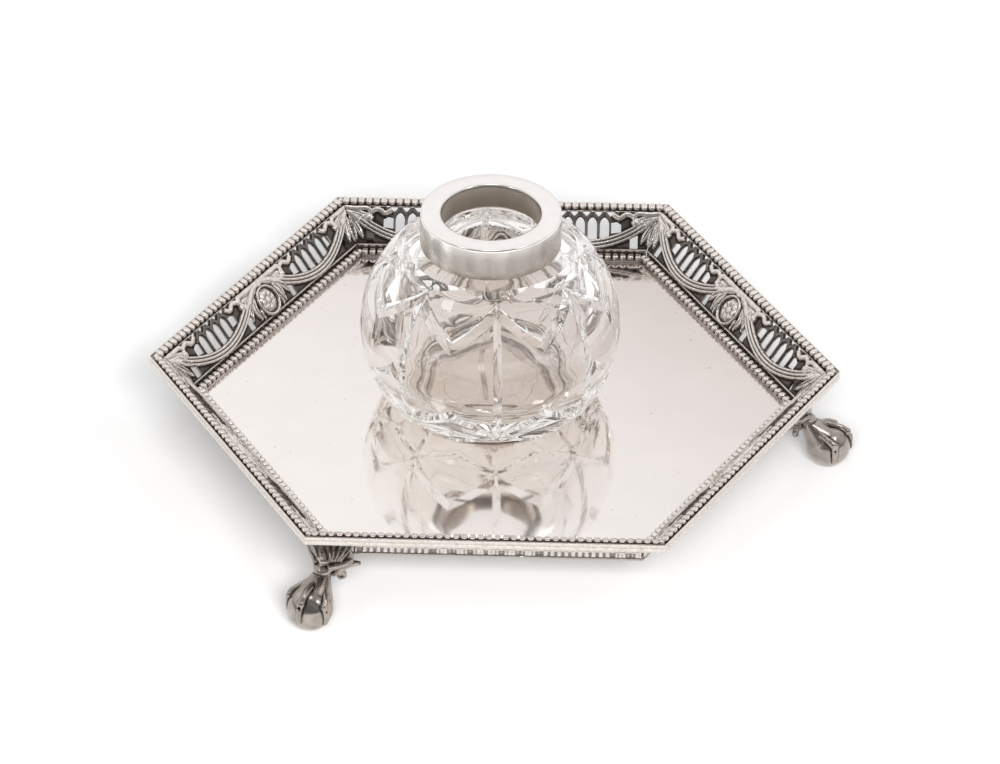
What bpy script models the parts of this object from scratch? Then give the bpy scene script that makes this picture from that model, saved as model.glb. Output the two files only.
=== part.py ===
"""Desk inkstand: a six-sided pierced gallery tray on three ball-and-claw feet, with a cut-glass
ink bottle that stands loose in its middle.

Metres, +Z up. Z = 0 is the table top. The tray's axis and the bottle's axis are vertical.
The whole stand is placed so that the middle of its plan lies on X = Y = 0.
"""

import math

import bmesh
import bpy
from mathutils import Vector
from mathutils.geometry import tessellate_polygon


# Driving dimensions of the tray

SIDES = 6
FLOOR_HEIGHT = 0.0200
FLOOR_THICKNESS = 0.0012
FLOOR_MARGIN = 0.00035
SEAM_GAP = 0.0003

RIM_APOTHEM = 0.0882
RIM_RISE = 0.0128
RIM_LIP_WIDTH = 0.00045
RIM_FACE_HEIGHT = 0.0028
RIM_FACE_WIDTH = 0.0009
RIM_GROOVE_WIDTH = 0.0003
RIM_GROOVE_DEPTH = 0.0002
RIM_LENGTHS = 6
PEARL_SEAT_DROP = 0.0007

PEARL_WIDTH = 0.0023
PEARL_HEIGHT = 0.0016
PEARL_PITCH = 0.00234
PEARL_SHOULDER_SHARE = 0.24
PEARL_NOTCH_HEIGHT_SHARE = 0.45
PEARL_NOTCH_PINCH_SHARE = 0.10
PEARL_END_SHARE = 0.25

BAND_FOOT_APOTHEM = 0.07695
BAND_FOOT_RISE = 0.00255
BAND_THICKNESS = 0.0013


# The gallery's pierced pattern
# Places along a side are shares of half the side's length at the band's foot.
# Places up the band are shares of the band's height.

BAY_CENTRE_SHARE = 0.580
BAR_COUNT = 5
BAR_PITCH_SHARE = 0.0835
BAR_WIDTH_SHARE = 0.0225
LANCET_SHOULDER_SHARE = 0.67
LANCET_HAUNCH_SHARES = (0.34, 0.785)
LANCET_TIP_SHARE = 0.835
SPANDREL_TOP_SHARE = 0.975
SPANDREL_TIP_SHARE = 0.855
SPANDREL_WIDTH_SHARE = 0.058
SIDE_LIGHT_SHARES = (0.172, 0.240, 0.43, 0.70)
FOOT_LIGHT_SHARES = (0.302, 0.356, 0.06, 0.40)

SWAG_HALF_SPAN_SHARE = 0.360
SWAG_LOW_SHARE = 0.145
SWAG_HIGH_SHARE = 0.56
SWAG_WIDTH_SHARE = 0.212
SWAG_STATIONS = 8
SWAG_RISE = 0.0008
SWAG_SECTION_SHARES = ((0.12, 0.85), (0.32, 0.55), (0.5, 1.0), (0.68, 0.55), (0.88, 0.85))
SWAG_CLEARANCE_SHARE = 0.02

MEDALLION_CORNERS = 12
MEDALLION_CENTRE_SHARE = 0.39
MEDALLION_HALF_HEIGHT_SHARE = 0.36
MEDALLION_HALF_WIDTH_SHARE = 0.0765
MEDALLION_RISE = 0.0009
MEDALLION_RING_SHARES = ((1.0, 0.0), (0.92, 1.0), (0.78, 1.0), (0.70, 0.45), (0.34, 0.45))
MEDALLION_BOSS_SHARE = 0.95


# Driving dimensions of a foot
# Its ball hangs just inside the rim's corner, and its ankle further in.

BALL_RADIUS = 0.0066
BALL_HEIGHT = 0.0064
BALL_INSET = 0.00255
BALL_SEGMENTS = 12
BALL_RINGS = 8
ANKLE_SETBACK = 0.0068
ANKLE_HEIGHT = 0.0125
ANKLE_RADIUS = 0.0025
SHIN_RADIUS = 0.0034
HEEL_RADIUS = 0.0042
KNEE_WING_LENGTH = 0.0080
KNEE_FOOT_WING_LENGTH = 0.0088
KNEE_THICKNESS = 0.0020
LEG_SIDES = 8
TOE_RADIUS = 0.0015
TOE_ANGLES = (-80.0, 0.0, 80.0)
TOE_SIDES = 5
TOE_PROUD_SHARE = 0.28
TOE_POLAR_ANGLES = (40.0, 40.0, 58.0, 84.0, 108.0, 128.0)
TOE_ANKLE_SHARES = (1.0, 0.5, 0.0, 0.0, 0.0, 0.0)
TOE_TAPER_SHARES = (1.35, 1.0, 0.9, 1.15, 0.75, 0.35)


# Driving dimensions of the bottle
# It stands a little off the tray's axis, where its owner put it.

BOTTLE_PLACE = (-0.0014, 0.0034)
BODY_RADIUS = 0.0383
BODY_EQUATOR_HEIGHT = 0.0250
BODY_BASE_RADIUS = 0.0286
BODY_NECK_RADIUS = 0.02466
NECK_BASE_HEIGHT = 0.0530
SHOULDER_DROP = 0.0003
BOTTLE_FOOT_RADIUS = 0.0258
CUT_COUNT = 8
CUT_DEPTH = 0.0016
CUT_HALF_WIDTH_SHARE = 0.11
LOWER_CROSSING_HEIGHT = 0.0060
LOWER_POINT_HEIGHT = 0.0025
LOWER_PEAK_HEIGHT = 0.0165
UPPER_CROSSING_DROP = 0.0034
UPPER_POINT_DROP = 0.0142
UPPER_PEAK_DROP = 0.0009
CUT_EDGE_RISE = 0.0020
CUT_TURN = 5.0
PANEL_ROWS = 3
PANEL_COLUMN_SHARES = (0.0, CUT_HALF_WIDTH_SHARE, 0.4, 0.7)

COLLAR_RADIUS = 0.02055
COLLAR_OPENING_RADIUS = 0.0144
COLLAR_SHOULDER_GAP = 0.00035
COLLAR_HEIGHT = 0.0102
COLLAR_WALL = 0.0006
COLLAR_SLEEVE_WALL = 0.0005
COLLAR_SLEEVE_LENGTH = 0.0077
COLLAR_TOP_THICKNESS = 0.0008
COLLAR_EDGE_BREAK = 0.0004
COLLAR_SEGMENTS = 32
PLASTER_THICKNESS = 0.0012

GLASS_FLOOR_THICKNESS = 0.0090
GLASS_WALL_THICKNESS = 0.0085
WELL_FLOOR_RADIUS = 0.0150
WELL_ROWS = 5


# Values worked out from the driving dimensions

CORNER_ANGLE = math.tau / SIDES
SIDE_SLOPE = math.tan(CORNER_ANGLE / 2)
MITRE_SETBACK = SEAM_GAP / 2 / math.cos(CORNER_ANGLE / 2)

PEARL_SEAT_HEIGHT = FLOOR_HEIGHT + RIM_RISE - PEARL_SEAT_DROP
UPPER_PEARL_APOTHEM = RIM_APOTHEM - RIM_LIP_WIDTH - SEAM_GAP - PEARL_WIDTH
LOWER_PEARL_APOTHEM = BAND_FOOT_APOTHEM - SEAM_GAP - PEARL_WIDTH
BAND_FOOT = Vector((BAND_FOOT_APOTHEM, FLOOR_HEIGHT + BAND_FOOT_RISE))
RIM_SEAT = Vector((UPPER_PEARL_APOTHEM, PEARL_SEAT_HEIGHT))
BAND_UP = (RIM_SEAT - BAND_FOOT).normalized()
BAND_OUT = Vector((BAND_UP.y, -BAND_UP.x))
BAND_HEIGHT = (RIM_SEAT - BAND_FOOT).length - SEAM_GAP
BAND_HALF_LENGTH = BAND_FOOT_APOTHEM * SIDE_SLOPE
BAND_SOLE_APOTHEM = BAND_FOOT_APOTHEM + BAND_THICKNESS
FLOOR_APOTHEM = BAND_SOLE_APOTHEM + FLOOR_MARGIN

BALL_DISTANCE = RIM_APOTHEM / math.cos(CORNER_ANGLE / 2) - BALL_INSET
ANKLE_DISTANCE = BALL_DISTANCE - ANKLE_SETBACK

BOTTLE_BASE = FLOOR_HEIGHT + SEAM_GAP
FIRST_CUT_TURN = math.radians(CUT_TURN - 90)
BODY_LOWER_HALF_HEIGHT = BODY_EQUATOR_HEIGHT / math.sqrt(1 - (BODY_BASE_RADIUS / BODY_RADIUS) ** 2)
BODY_UPPER_HALF_HEIGHT = (NECK_BASE_HEIGHT - BODY_EQUATOR_HEIGHT) / math.sqrt(
    1 - (BODY_NECK_RADIUS / BODY_RADIUS) ** 2)
UPPER_CROSSING_HEIGHT = NECK_BASE_HEIGHT - UPPER_CROSSING_DROP
UPPER_POINT_HEIGHT = NECK_BASE_HEIGHT - UPPER_POINT_DROP
UPPER_PEAK_HEIGHT = NECK_BASE_HEIGHT - UPPER_PEAK_DROP
SHOULDER_HEIGHT = NECK_BASE_HEIGHT - SHOULDER_DROP
NECK_RADIUS = COLLAR_RADIUS - COLLAR_WALL - SEAM_GAP
BORE_RADIUS = COLLAR_OPENING_RADIUS + COLLAR_SLEEVE_WALL + SEAM_GAP
COLLAR_BASE_HEIGHT = NECK_BASE_HEIGHT + COLLAR_SHOULDER_GAP
COLLAR_TOP = COLLAR_BASE_HEIGHT + COLLAR_HEIGHT
PLASTER_TOP = COLLAR_TOP - COLLAR_TOP_THICKNESS - SEAM_GAP
PLASTER_BASE = PLASTER_TOP - PLASTER_THICKNESS
NECK_TOP = PLASTER_BASE - SEAM_GAP

SIDE_NAMES = ("right_back", "back", "left_back", "left_front", "front", "right_front")
FOOT_NAMES = ("right", "left_back", "left_front")
SMOOTH_LIMIT = math.radians(32)
MERGE_DISTANCE = SEAM_GAP / 100

# Colours and finishes: colour, roughness, metallic, transmission

SILVER = (0.86, 0.84, 0.82)
DARK_SILVER = (0.62, 0.59, 0.56)
WORN_SILVER = (0.80, 0.77, 0.74)
GLASS_TINT = (0.93, 0.94, 0.95)
PLASTER_WHITE = (0.75, 0.72, 0.66)
FINISHES = {
    "floor_silver": (SILVER, 0.08, 1.0, 0.0),
    "gallery_silver": (DARK_SILVER, 0.30, 1.0, 0.0),
    "rim_silver": (SILVER, 0.20, 1.0, 0.0),
    "upper_pearl_silver": (SILVER, 0.25, 1.0, 0.0),
    "lower_pearl_silver": (WORN_SILVER, 0.28, 1.0, 0.0),
    "foot_silver": (DARK_SILVER, 0.30, 1.0, 0.0),
    "cut_glass": (GLASS_TINT, 0.02, 0.0, 1.0),
    "collar_silver": (SILVER, 0.15, 1.0, 0.0),
    "plaster": (PLASTER_WHITE, 0.90, 0.0, 0.0),
}


# Scene and object helpers

def clear_scene():
    for existing in list(bpy.data.objects):
        bpy.data.objects.remove(existing, do_unlink=True)


def add_material(name):
    """A plain Principled material with one colour, from the table of finishes."""
    colour, roughness, metallic, transmission = FINISHES[name]
    material = bpy.data.materials.new(name)
    material.use_nodes = True
    shader = material.node_tree.nodes["Principled BSDF"]
    shader.inputs["Base Color"].default_value = (*colour, 1.0)
    shader.inputs["Roughness"].default_value = roughness
    shader.inputs["Metallic"].default_value = metallic
    shader.inputs["Transmission Weight"].default_value = transmission
    return material


def add_object(name, mesh, parent, turn=0.0):
    """Place a mesh under its parent, turned about the parent's vertical axis."""
    obj = bpy.data.objects.new(name, mesh)
    bpy.context.scene.collection.objects.link(obj)
    obj.parent = parent
    obj.rotation_euler.z = turn
    return obj


def add_empty(name, parent=None):
    empty = bpy.data.objects.new(name, None)
    bpy.context.scene.collection.objects.link(empty)
    empty.parent = parent
    return empty


def finish_mesh(name, shape, material, merge=0.0):
    """Turn a bmesh into a mesh with outward faces, smooth but for its sharp edges."""
    if merge:
        bmesh.ops.remove_doubles(shape, verts=shape.verts, dist=merge)
        bmesh.ops.dissolve_degenerate(shape, edges=shape.edges, dist=merge)
    bmesh.ops.recalc_face_normals(shape, faces=shape.faces)
    bmesh.ops.triangulate(shape, faces=[face for face in shape.faces if len(face.verts) > 3])
    mesh = bpy.data.meshes.new(name)
    shape.to_mesh(mesh)
    shape.free()
    mesh.shade_smooth()
    mesh.set_sharp_from_angle(angle=SMOOTH_LIMIT)
    mesh.materials.append(material)
    return mesh


# Tray members that run along one side and meet their neighbours at a mitre
# In a side's own frame +X points out of the side, +Y runs along it and +Z is up.

def mitre_end(apothem):
    """Half the length of a side's member at a distance out from the axis."""
    return apothem * SIDE_SLOPE - MITRE_SETBACK


def mitred_prism(section, lengths):
    """A bar along one side with this (apothem, height) section, mitred at both ends."""
    shape = bmesh.new()
    rings = []
    for place in range(lengths + 1):
        along = 2 * place / lengths - 1
        rings.append([shape.verts.new((out, along * mitre_end(out), up)) for out, up in section])
    for before, after in zip(rings, rings[1:]):
        bridge(shape, before, after)
    shape.faces.new(rings[0])
    shape.faces.new(rings[-1])
    return shape


def make_tray_floor(material):
    """The flat six-sided floor plate."""
    shape = bmesh.new()
    radius = FLOOR_APOTHEM / math.cos(CORNER_ANGLE / 2)
    corners = [shape.verts.new((radius * math.cos(CORNER_ANGLE * corner),
                                radius * math.sin(CORNER_ANGLE * corner),
                                FLOOR_HEIGHT - FLOOR_THICKNESS)) for corner in range(SIDES)]
    plate = shape.faces.new(corners)
    raised = bmesh.ops.extrude_face_region(shape, geom=[plate])["geom"]
    top = [item for item in raised if isinstance(item, bmesh.types.BMVert)]
    bmesh.ops.translate(shape, verts=top, vec=(0, 0, FLOOR_THICKNESS))
    return finish_mesh("tray_floor", shape, material)


def make_rim_moulding(material):
    """The rim's moulding: a level seat for the pearls behind a grooved upright face."""
    top = FLOOR_HEIGHT + RIM_RISE
    bottom = top - RIM_FACE_HEIGHT
    middle = (top + bottom) / 2
    lip = RIM_APOTHEM - RIM_LIP_WIDTH
    heel = RIM_SEAT + BAND_OUT * BAND_THICKNESS
    section = [
        (RIM_APOTHEM, top),
        (RIM_APOTHEM, middle + RIM_GROOVE_WIDTH / 2),
        (RIM_APOTHEM - RIM_GROOVE_DEPTH, middle),
        (RIM_APOTHEM, middle - RIM_GROOVE_WIDTH / 2),
        (RIM_APOTHEM, bottom),
        (RIM_APOTHEM - RIM_FACE_WIDTH, bottom),
        tuple(heel),
        tuple(RIM_SEAT),
        (lip, PEARL_SEAT_HEIGHT),
        (lip, top),
    ]
    return finish_mesh("rim_moulding", mitred_prism(section, RIM_LENGTHS), material)


def pearl_section(inner, base, notch):
    """The wire's outline at a pearl's middle, or at the notch between two pearls."""
    pinch = PEARL_WIDTH * PEARL_NOTCH_PINCH_SHARE if notch else 0
    height = PEARL_HEIGHT * (PEARL_NOTCH_HEIGHT_SHARE if notch else 1)
    shoulder = PEARL_WIDTH * PEARL_SHOULDER_SHARE
    outer = inner + PEARL_WIDTH
    return [(inner + pinch, base), (inner + shoulder, base + height),
            (outer - shoulder, base + height), (outer - pinch, base)]


def make_pearl_wire(name, inner, seat, material):
    """A wire of touching pearls with a flat back, mitred at both ends."""
    base = seat + SEAM_GAP
    reach = mitre_end(inner) - PEARL_PITCH * PEARL_END_SHARE
    count = max(1, round(2 * reach / PEARL_PITCH))
    step = reach / count
    shape = bmesh.new()
    notch = pearl_section(inner, base, True)
    crest = pearl_section(inner, base, False)
    rings = [[(out, -mitre_end(out), up) for out, up in notch]]
    for place in range(2 * count + 1):
        along = -reach + place * step
        rings.append([(out, along, up) for out, up in (crest if place % 2 else notch)])
    rings.append([(out, mitre_end(out), up) for out, up in notch])
    rings = [[shape.verts.new(point) for point in ring] for ring in rings]
    corners = len(notch)
    for before, after in zip(rings, rings[1:]):
        for first in range(corners):
            second = (first + 1) % corners
            shape.faces.new((before[first], before[second], after[second], after[first]))
    shape.faces.new(rings[0])
    shape.faces.new(rings[-1])
    return finish_mesh(name, shape, material)


# The pierced gallery band
# Its pattern is drawn flat: x along the side from its middle, y up the band from its foot.

def swag_height(x):
    """The height up the band of the swag's middle line."""
    span = BAND_HALF_LENGTH * SWAG_HALF_SPAN_SHARE
    offset = (abs(x) - BAND_HALF_LENGTH * BAY_CENTRE_SHARE) / span
    low = BAND_HEIGHT * SWAG_LOW_SHARE
    high = BAND_HEIGHT * SWAG_HIGH_SHARE
    return low + (high - low) * offset ** 2


def swag_slope(x):
    """The rise of the swag's middle line for each unit along the band."""
    span = BAND_HALF_LENGTH * SWAG_HALF_SPAN_SHARE
    offset = (x - BAND_HALF_LENGTH * BAY_CENTRE_SHARE) / span
    return 2 * BAND_HEIGHT * (SWAG_HIGH_SHARE - SWAG_LOW_SHARE) * offset / span


def swag_reach(x):
    """How far the swag and its clearance reach above or below the swag's middle line."""
    half = BAND_HEIGHT * SWAG_WIDTH_SHARE / 2
    return half * math.hypot(1, swag_slope(x)) + BAND_HEIGHT * SWAG_CLEARANCE_SHARE


def sill_height(x):
    """The height at which a light may start above the swag."""
    return swag_height(x) + swag_reach(x)


def lintel_height(x):
    """The height at which a light must stop below the swag."""
    return swag_height(x) - swag_reach(x)


def lancet_light(centre, half_width):
    """A pointed opening between two bars, its sill along the swag's upper edge."""
    haunch_width, haunch_height = LANCET_HAUNCH_SHARES
    return [
        (centre - half_width, sill_height(centre - half_width)),
        (centre + half_width, sill_height(centre + half_width)),
        (centre + half_width, BAND_HEIGHT * LANCET_SHOULDER_SHARE),
        (centre + half_width * 2 * haunch_width, BAND_HEIGHT * haunch_height),
        (centre, BAND_HEIGHT * LANCET_TIP_SHARE),
        (centre - half_width * 2 * haunch_width, BAND_HEIGHT * haunch_height),
        (centre - half_width, BAND_HEIGHT * LANCET_SHOULDER_SHARE),
    ]


def half_band_lights():
    """The openings in the right half of a band."""
    bay = BAND_HALF_LENGTH * BAY_CENTRE_SHARE
    pitch = BAND_HALF_LENGTH * BAR_PITCH_SHARE
    light_half = (pitch - BAND_HALF_LENGTH * BAR_WIDTH_SHARE) / 2
    lights = []
    for gap in range(BAR_COUNT - 1):
        centre = bay + (gap - (BAR_COUNT - 2) / 2) * pitch
        lights.append(lancet_light(centre, light_half))
    for bar in range(BAR_COUNT):
        centre = bay + (bar - (BAR_COUNT - 1) / 2) * pitch
        half = BAND_HALF_LENGTH * SPANDREL_WIDTH_SHARE / 2
        tip = BAND_HEIGHT * SPANDREL_TIP_SHARE
        top = BAND_HEIGHT * SPANDREL_TOP_SHARE
        lights.append([(centre, tip), (centre + half, top), (centre - half, top)])
    near, far, low, high = SIDE_LIGHT_SHARES
    for side in (-1, 1):
        inner = bay + side * BAND_HALF_LENGTH * near
        outer = bay + side * BAND_HALF_LENGTH * far
        lights.append([(inner, max(sill_height(inner), BAND_HEIGHT * low)),
                       (outer, max(sill_height(outer), BAND_HEIGHT * low)),
                       (outer, BAND_HEIGHT * high), (inner, BAND_HEIGHT * high)])
    near, far, low, high = FOOT_LIGHT_SHARES
    for side in (-1, 1):
        inner = bay + side * BAND_HALF_LENGTH * near
        outer = bay + side * BAND_HALF_LENGTH * far
        lights.append([(inner, BAND_HEIGHT * low), (outer, BAND_HEIGHT * low),
                       (outer, min(lintel_height(outer), BAND_HEIGHT * high)),
                       (inner, min(lintel_height(inner), BAND_HEIGHT * high))])
    return lights


def swag_grid(side):
    """Points (x, y, rise) across and along one ribbed swag."""
    bay = BAND_HALF_LENGTH * BAY_CENTRE_SHARE
    span = BAND_HALF_LENGTH * SWAG_HALF_SPAN_SHARE
    width = BAND_HEIGHT * SWAG_WIDTH_SHARE
    section = [(0.0, 0.0), *SWAG_SECTION_SHARES, (1.0, 0.0)]
    rows = []
    for station in range(SWAG_STATIONS):
        x = bay + span * (2 * station / (SWAG_STATIONS - 1) - 1)
        slope = swag_slope(x)
        lean = math.hypot(1, slope)
        row = []
        for across, rise in section:
            offset = (across - 0.5) * width
            place = side * (x - offset * slope / lean)
            row.append((place, swag_height(x) + offset / lean, rise * SWAG_RISE))
        rows.append(row)
    return rows


def medallion_rings():
    """Rings (x, y, rise) of the oval medallion, from its edge to its boss."""
    centre = BAND_HEIGHT * MEDALLION_CENTRE_SHARE
    half_width = BAND_HALF_LENGTH * MEDALLION_HALF_WIDTH_SHARE
    half_height = BAND_HEIGHT * MEDALLION_HALF_HEIGHT_SHARE
    rings = []
    for share, rise in MEDALLION_RING_SHARES:
        ring = []
        for corner in range(MEDALLION_CORNERS):
            angle = math.tau * corner / MEDALLION_CORNERS
            ring.append((half_width * share * math.cos(angle),
                         centre + half_height * share * math.sin(angle), rise * MEDALLION_RISE))
        rings.append(ring)
    return rings


def on_band(x, y, rise):
    """A point of the flat pattern, rise in front of the band's inner face, in the side's frame."""
    place = BAND_FOOT + BAND_UP * y - BAND_OUT * rise
    return Vector((place.x, x, place.y))


def make_gallery_panel(material):
    """One side's pierced band with its swags and medallion, on an upright foot strip."""
    shape = bmesh.new()
    corners = []
    for along, y in ((-1, 0), (1, 0), (1, BAND_HEIGHT), (-1, BAND_HEIGHT)):
        front = BAND_FOOT + BAND_UP * y
        back = front + BAND_OUT * BAND_THICKNESS
        corners.append((Vector((front.x, along * mitre_end(front.x), front.y)),
                        Vector((back.x, along * mitre_end(back.x), back.y))))
    outline = [[shape.verts.new(pair[face]) for pair in corners] for face in (0, 1)]
    flat_outline = [(corner[0].y, y) for corner, y in zip(corners, (0, 0, BAND_HEIGHT, BAND_HEIGHT))]

    lights = half_band_lights()
    lights += [[(-x, y) for x, y in reversed(light)] for light in lights]
    front_lights = [[shape.verts.new(on_band(x, y, 0)) for x, y in light] for light in lights]
    back_lights = [[shape.verts.new(on_band(x, y, -BAND_THICKNESS)) for x, y in light] for light in lights]

    swags = [[[shape.verts.new(on_band(*point)) for point in row] for row in swag_grid(side)]
             for side in (-1, 1)]
    swag_loops = []
    flat_swags = []
    for side, rows in zip((-1, 1), swags):
        flat = swag_grid(side)
        swag_loops.append([row[0] for row in rows] + [row[-1] for row in reversed(rows)])
        flat_swags.append([row[0][:2] for row in flat] + [row[-1][:2] for row in reversed(flat)])
    flat_rings = medallion_rings()
    rings = [[shape.verts.new(on_band(*point)) for point in ring] for ring in flat_rings]
    flat_ring = [point[:2] for point in flat_rings[0]]

    fill(shape, [flat_outline, *lights, *flat_swags, flat_ring],
         [outline[0], *front_lights, *swag_loops, rings[0]])
    fill(shape, [flat_outline, *lights], [outline[1], *back_lights])

    for front, back in [(outline[0], outline[1]), *zip(front_lights, back_lights)]:
        for first in range(len(front)):
            second = (first + 1) % len(front)
            if front is outline[0] and first == 0:
                continue
            shape.faces.new((front[first], front[second], back[second], back[first]))
    add_foot_strip(shape, outline)
    for rows in swags:
        add_patch(shape, rows)
        shape.faces.new(rows[0])
        shape.faces.new(rows[-1])
    for outer, inner in zip(rings, rings[1:]):
        bridge(shape, outer, inner)
    boss_rise = MEDALLION_RISE * MEDALLION_BOSS_SHARE
    boss = shape.verts.new(on_band(0, BAND_HEIGHT * MEDALLION_CENTRE_SHARE, boss_rise))
    for first in range(MEDALLION_CORNERS):
        shape.faces.new((rings[-1][first], rings[-1][(first + 1) % MEDALLION_CORNERS], boss))
    return finish_mesh("gallery_panel", shape, material)


def add_foot_strip(shape, outline):
    """The upright strip below the band that stands on the tray floor."""
    sole = FLOOR_HEIGHT + SEAM_GAP
    feet = []
    for out in (BAND_FOOT_APOTHEM, BAND_SOLE_APOTHEM):
        feet.append([shape.verts.new((out, along * mitre_end(out), sole)) for along in (-1, 1)])
    front = outline[0][:2]
    back = outline[1][:2]
    shape.faces.new((front[0], front[1], feet[0][1], feet[0][0]))
    shape.faces.new((feet[0][0], feet[0][1], feet[1][1], feet[1][0]))
    shape.faces.new((feet[1][0], feet[1][1], back[1], back[0]))
    for end in (0, 1):
        shape.faces.new((front[end], feet[0][end], feet[1][end], back[end]))


def fill(shape, flat_loops, vertex_loops):
    """Fill the area inside the first loop and outside the others with triangles."""
    points = [[Vector((x, y, 0)) for x, y in loop] for loop in flat_loops]
    vertices = [vertex for loop in vertex_loops for vertex in loop]
    for triangle in tessellate_polygon(points):
        shape.faces.new([vertices[index] for index in triangle])


def add_patch(shape, rows):
    """Faces between neighbouring rows of vertices."""
    for before, after in zip(rows, rows[1:]):
        for first in range(len(before) - 1):
            shape.faces.new((before[first], before[first + 1], after[first + 1], after[first]))


def bridge(shape, before, after):
    """Faces between two closed rings with as many vertices each."""
    for first in range(len(before)):
        second = (first + 1) % len(before)
        shape.faces.new((before[first], before[second], after[second], after[first]))


# Feet
# A foot is modelled in a frame whose +X points out along the corner's line.

def knee_ring(height, inner, wing, thickness):
    """A chevron that wraps the tray's corner, as eight points from its inner corner round."""
    half_turn = CORNER_ANGLE / 2
    along = Vector((-math.sin(half_turn), math.cos(half_turn)))
    out = Vector((math.cos(half_turn), math.sin(half_turn)))
    start = Vector((inner, 0))
    ridge = Vector((inner + thickness / math.cos(half_turn), 0))
    end = start + along * wing
    side = [end, end + out * thickness, ridge + along * wing / 2]
    mirrored = [Vector((point.x, -point.y)) for point in reversed(side)]
    return [Vector((*point, height)) for point in [start, *side, ridge, *mirrored]]


def shin_ring(height, distance, radius):
    """Points round the leg, from its inner side, in the same order as a knee ring."""
    ring = []
    for corner in range(LEG_SIDES):
        angle = math.pi - math.tau * corner / LEG_SIDES
        ring.append(Vector((distance + radius * math.cos(angle), radius * math.sin(angle), height)))
    return ring


def leg_rings():
    """Rings of the foot's knee, ankle and heel, from under the rim down into the ball."""
    top = FLOOR_HEIGHT + RIM_RISE - RIM_FACE_HEIGHT - SEAM_GAP
    floor_top = FLOOR_HEIGHT
    floor_bottom = FLOOR_HEIGHT - FLOOR_THICKNESS - SEAM_GAP
    to_corner = 1 / math.cos(CORNER_ANGLE / 2)
    clear = SEAM_GAP * to_corner

    def band_back(height):
        foot = BAND_FOOT + BAND_OUT * BAND_THICKNESS
        apothem = foot.x + (height - foot.y) * BAND_UP.x / BAND_UP.y
        return apothem * to_corner + SEAM_GAP / BAND_UP.y * to_corner

    floor_corner = FLOOR_APOTHEM * to_corner + clear
    skirt = max(band_back(floor_top), floor_corner)
    middle = (top + floor_top) / 2
    waist = (floor_bottom + ANKLE_HEIGHT) / 2
    ball_shoulder = BALL_HEIGHT + BALL_RADIUS / 2
    return [
        knee_ring(top, band_back(top), KNEE_WING_LENGTH, KNEE_THICKNESS),
        knee_ring(middle, band_back(middle), KNEE_WING_LENGTH, KNEE_THICKNESS),
        knee_ring(floor_top, skirt, KNEE_FOOT_WING_LENGTH, KNEE_THICKNESS),
        knee_ring(floor_bottom, floor_corner, KNEE_FOOT_WING_LENGTH, KNEE_THICKNESS),
        shin_ring(waist, ANKLE_DISTANCE, SHIN_RADIUS),
        shin_ring(ANKLE_HEIGHT, ANKLE_DISTANCE, ANKLE_RADIUS),
        shin_ring(ball_shoulder, (ANKLE_DISTANCE + BALL_DISTANCE) / 2, HEEL_RADIUS),
        shin_ring(BALL_HEIGHT, BALL_DISTANCE, ANKLE_RADIUS),
    ]


def make_leg():
    """The knee, ankle and heel as one closed loft."""
    shape = bmesh.new()
    rings = [[shape.verts.new(point) for point in ring] for ring in leg_rings()]
    for before, after in zip(rings, rings[1:]):
        bridge(shape, before, after)
    shape.faces.new(rings[0])
    shape.faces.new(rings[-1])
    return shape


def make_ball():
    """The ball, flat where it stands."""
    shape = bmesh.new()
    bmesh.ops.create_uvsphere(shape, u_segments=BALL_SEGMENTS, v_segments=BALL_RINGS, radius=BALL_RADIUS)
    bmesh.ops.translate(shape, verts=shape.verts, vec=(BALL_DISTANCE, 0, BALL_HEIGHT))
    cut = bmesh.ops.bisect_plane(shape, geom=[*shape.verts, *shape.edges, *shape.faces],
                                 plane_co=(0, 0, 0), plane_no=(0, 0, -1), clear_outer=True)
    rim = [item for item in cut["geom_cut"] if isinstance(item, bmesh.types.BMEdge)]
    bmesh.ops.contextual_create(shape, geom=rim)
    return shape


def make_toe(angle):
    """One claw: a tapering talon that leaves the ankle and grips the ball down one side."""
    shape = bmesh.new()
    turn = math.radians(angle)
    facing = Vector((math.cos(turn), math.sin(turn), 0))
    centre = Vector((BALL_DISTANCE, 0, BALL_HEIGHT))
    ankle = Vector((ANKLE_DISTANCE, 0, ANKLE_HEIGHT)) - centre
    spine = []
    for polar, from_ankle, taper in zip(TOE_POLAR_ANGLES, TOE_ANKLE_SHARES, TOE_TAPER_SHARES):
        lean = math.radians(polar)
        on_ball = facing * math.sin(lean) + Vector((0, 0, math.cos(lean)))
        seat = BALL_RADIUS + (2 * TOE_PROUD_SHARE - 1) * TOE_RADIUS * taper
        radial = ankle.normalized().lerp(on_ball, 1 - from_ankle).normalized()
        spine.append(centre + radial * (seat + (ankle.length - seat) * from_ankle))
    rings = []
    for place, taper in enumerate(TOE_TAPER_SHARES):
        before = spine[max(place - 1, 0)]
        after = spine[min(place + 1, len(spine) - 1)]
        ahead = (after - before).normalized()
        sideways = ahead.cross(spine[place] - centre).normalized()
        outward = sideways.cross(ahead)
        ring = []
        for corner in range(TOE_SIDES):
            swing = math.tau * corner / TOE_SIDES
            offset = (outward * math.cos(swing) + sideways * math.sin(swing)) * TOE_RADIUS * taper
            ring.append(shape.verts.new(spine[place] + offset))
        rings.append(ring)
    for before, after in zip(rings, rings[1:]):
        bridge(shape, before, after)
    shape.faces.new(rings[0])
    shape.faces.new(rings[-1])
    return shape


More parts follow.
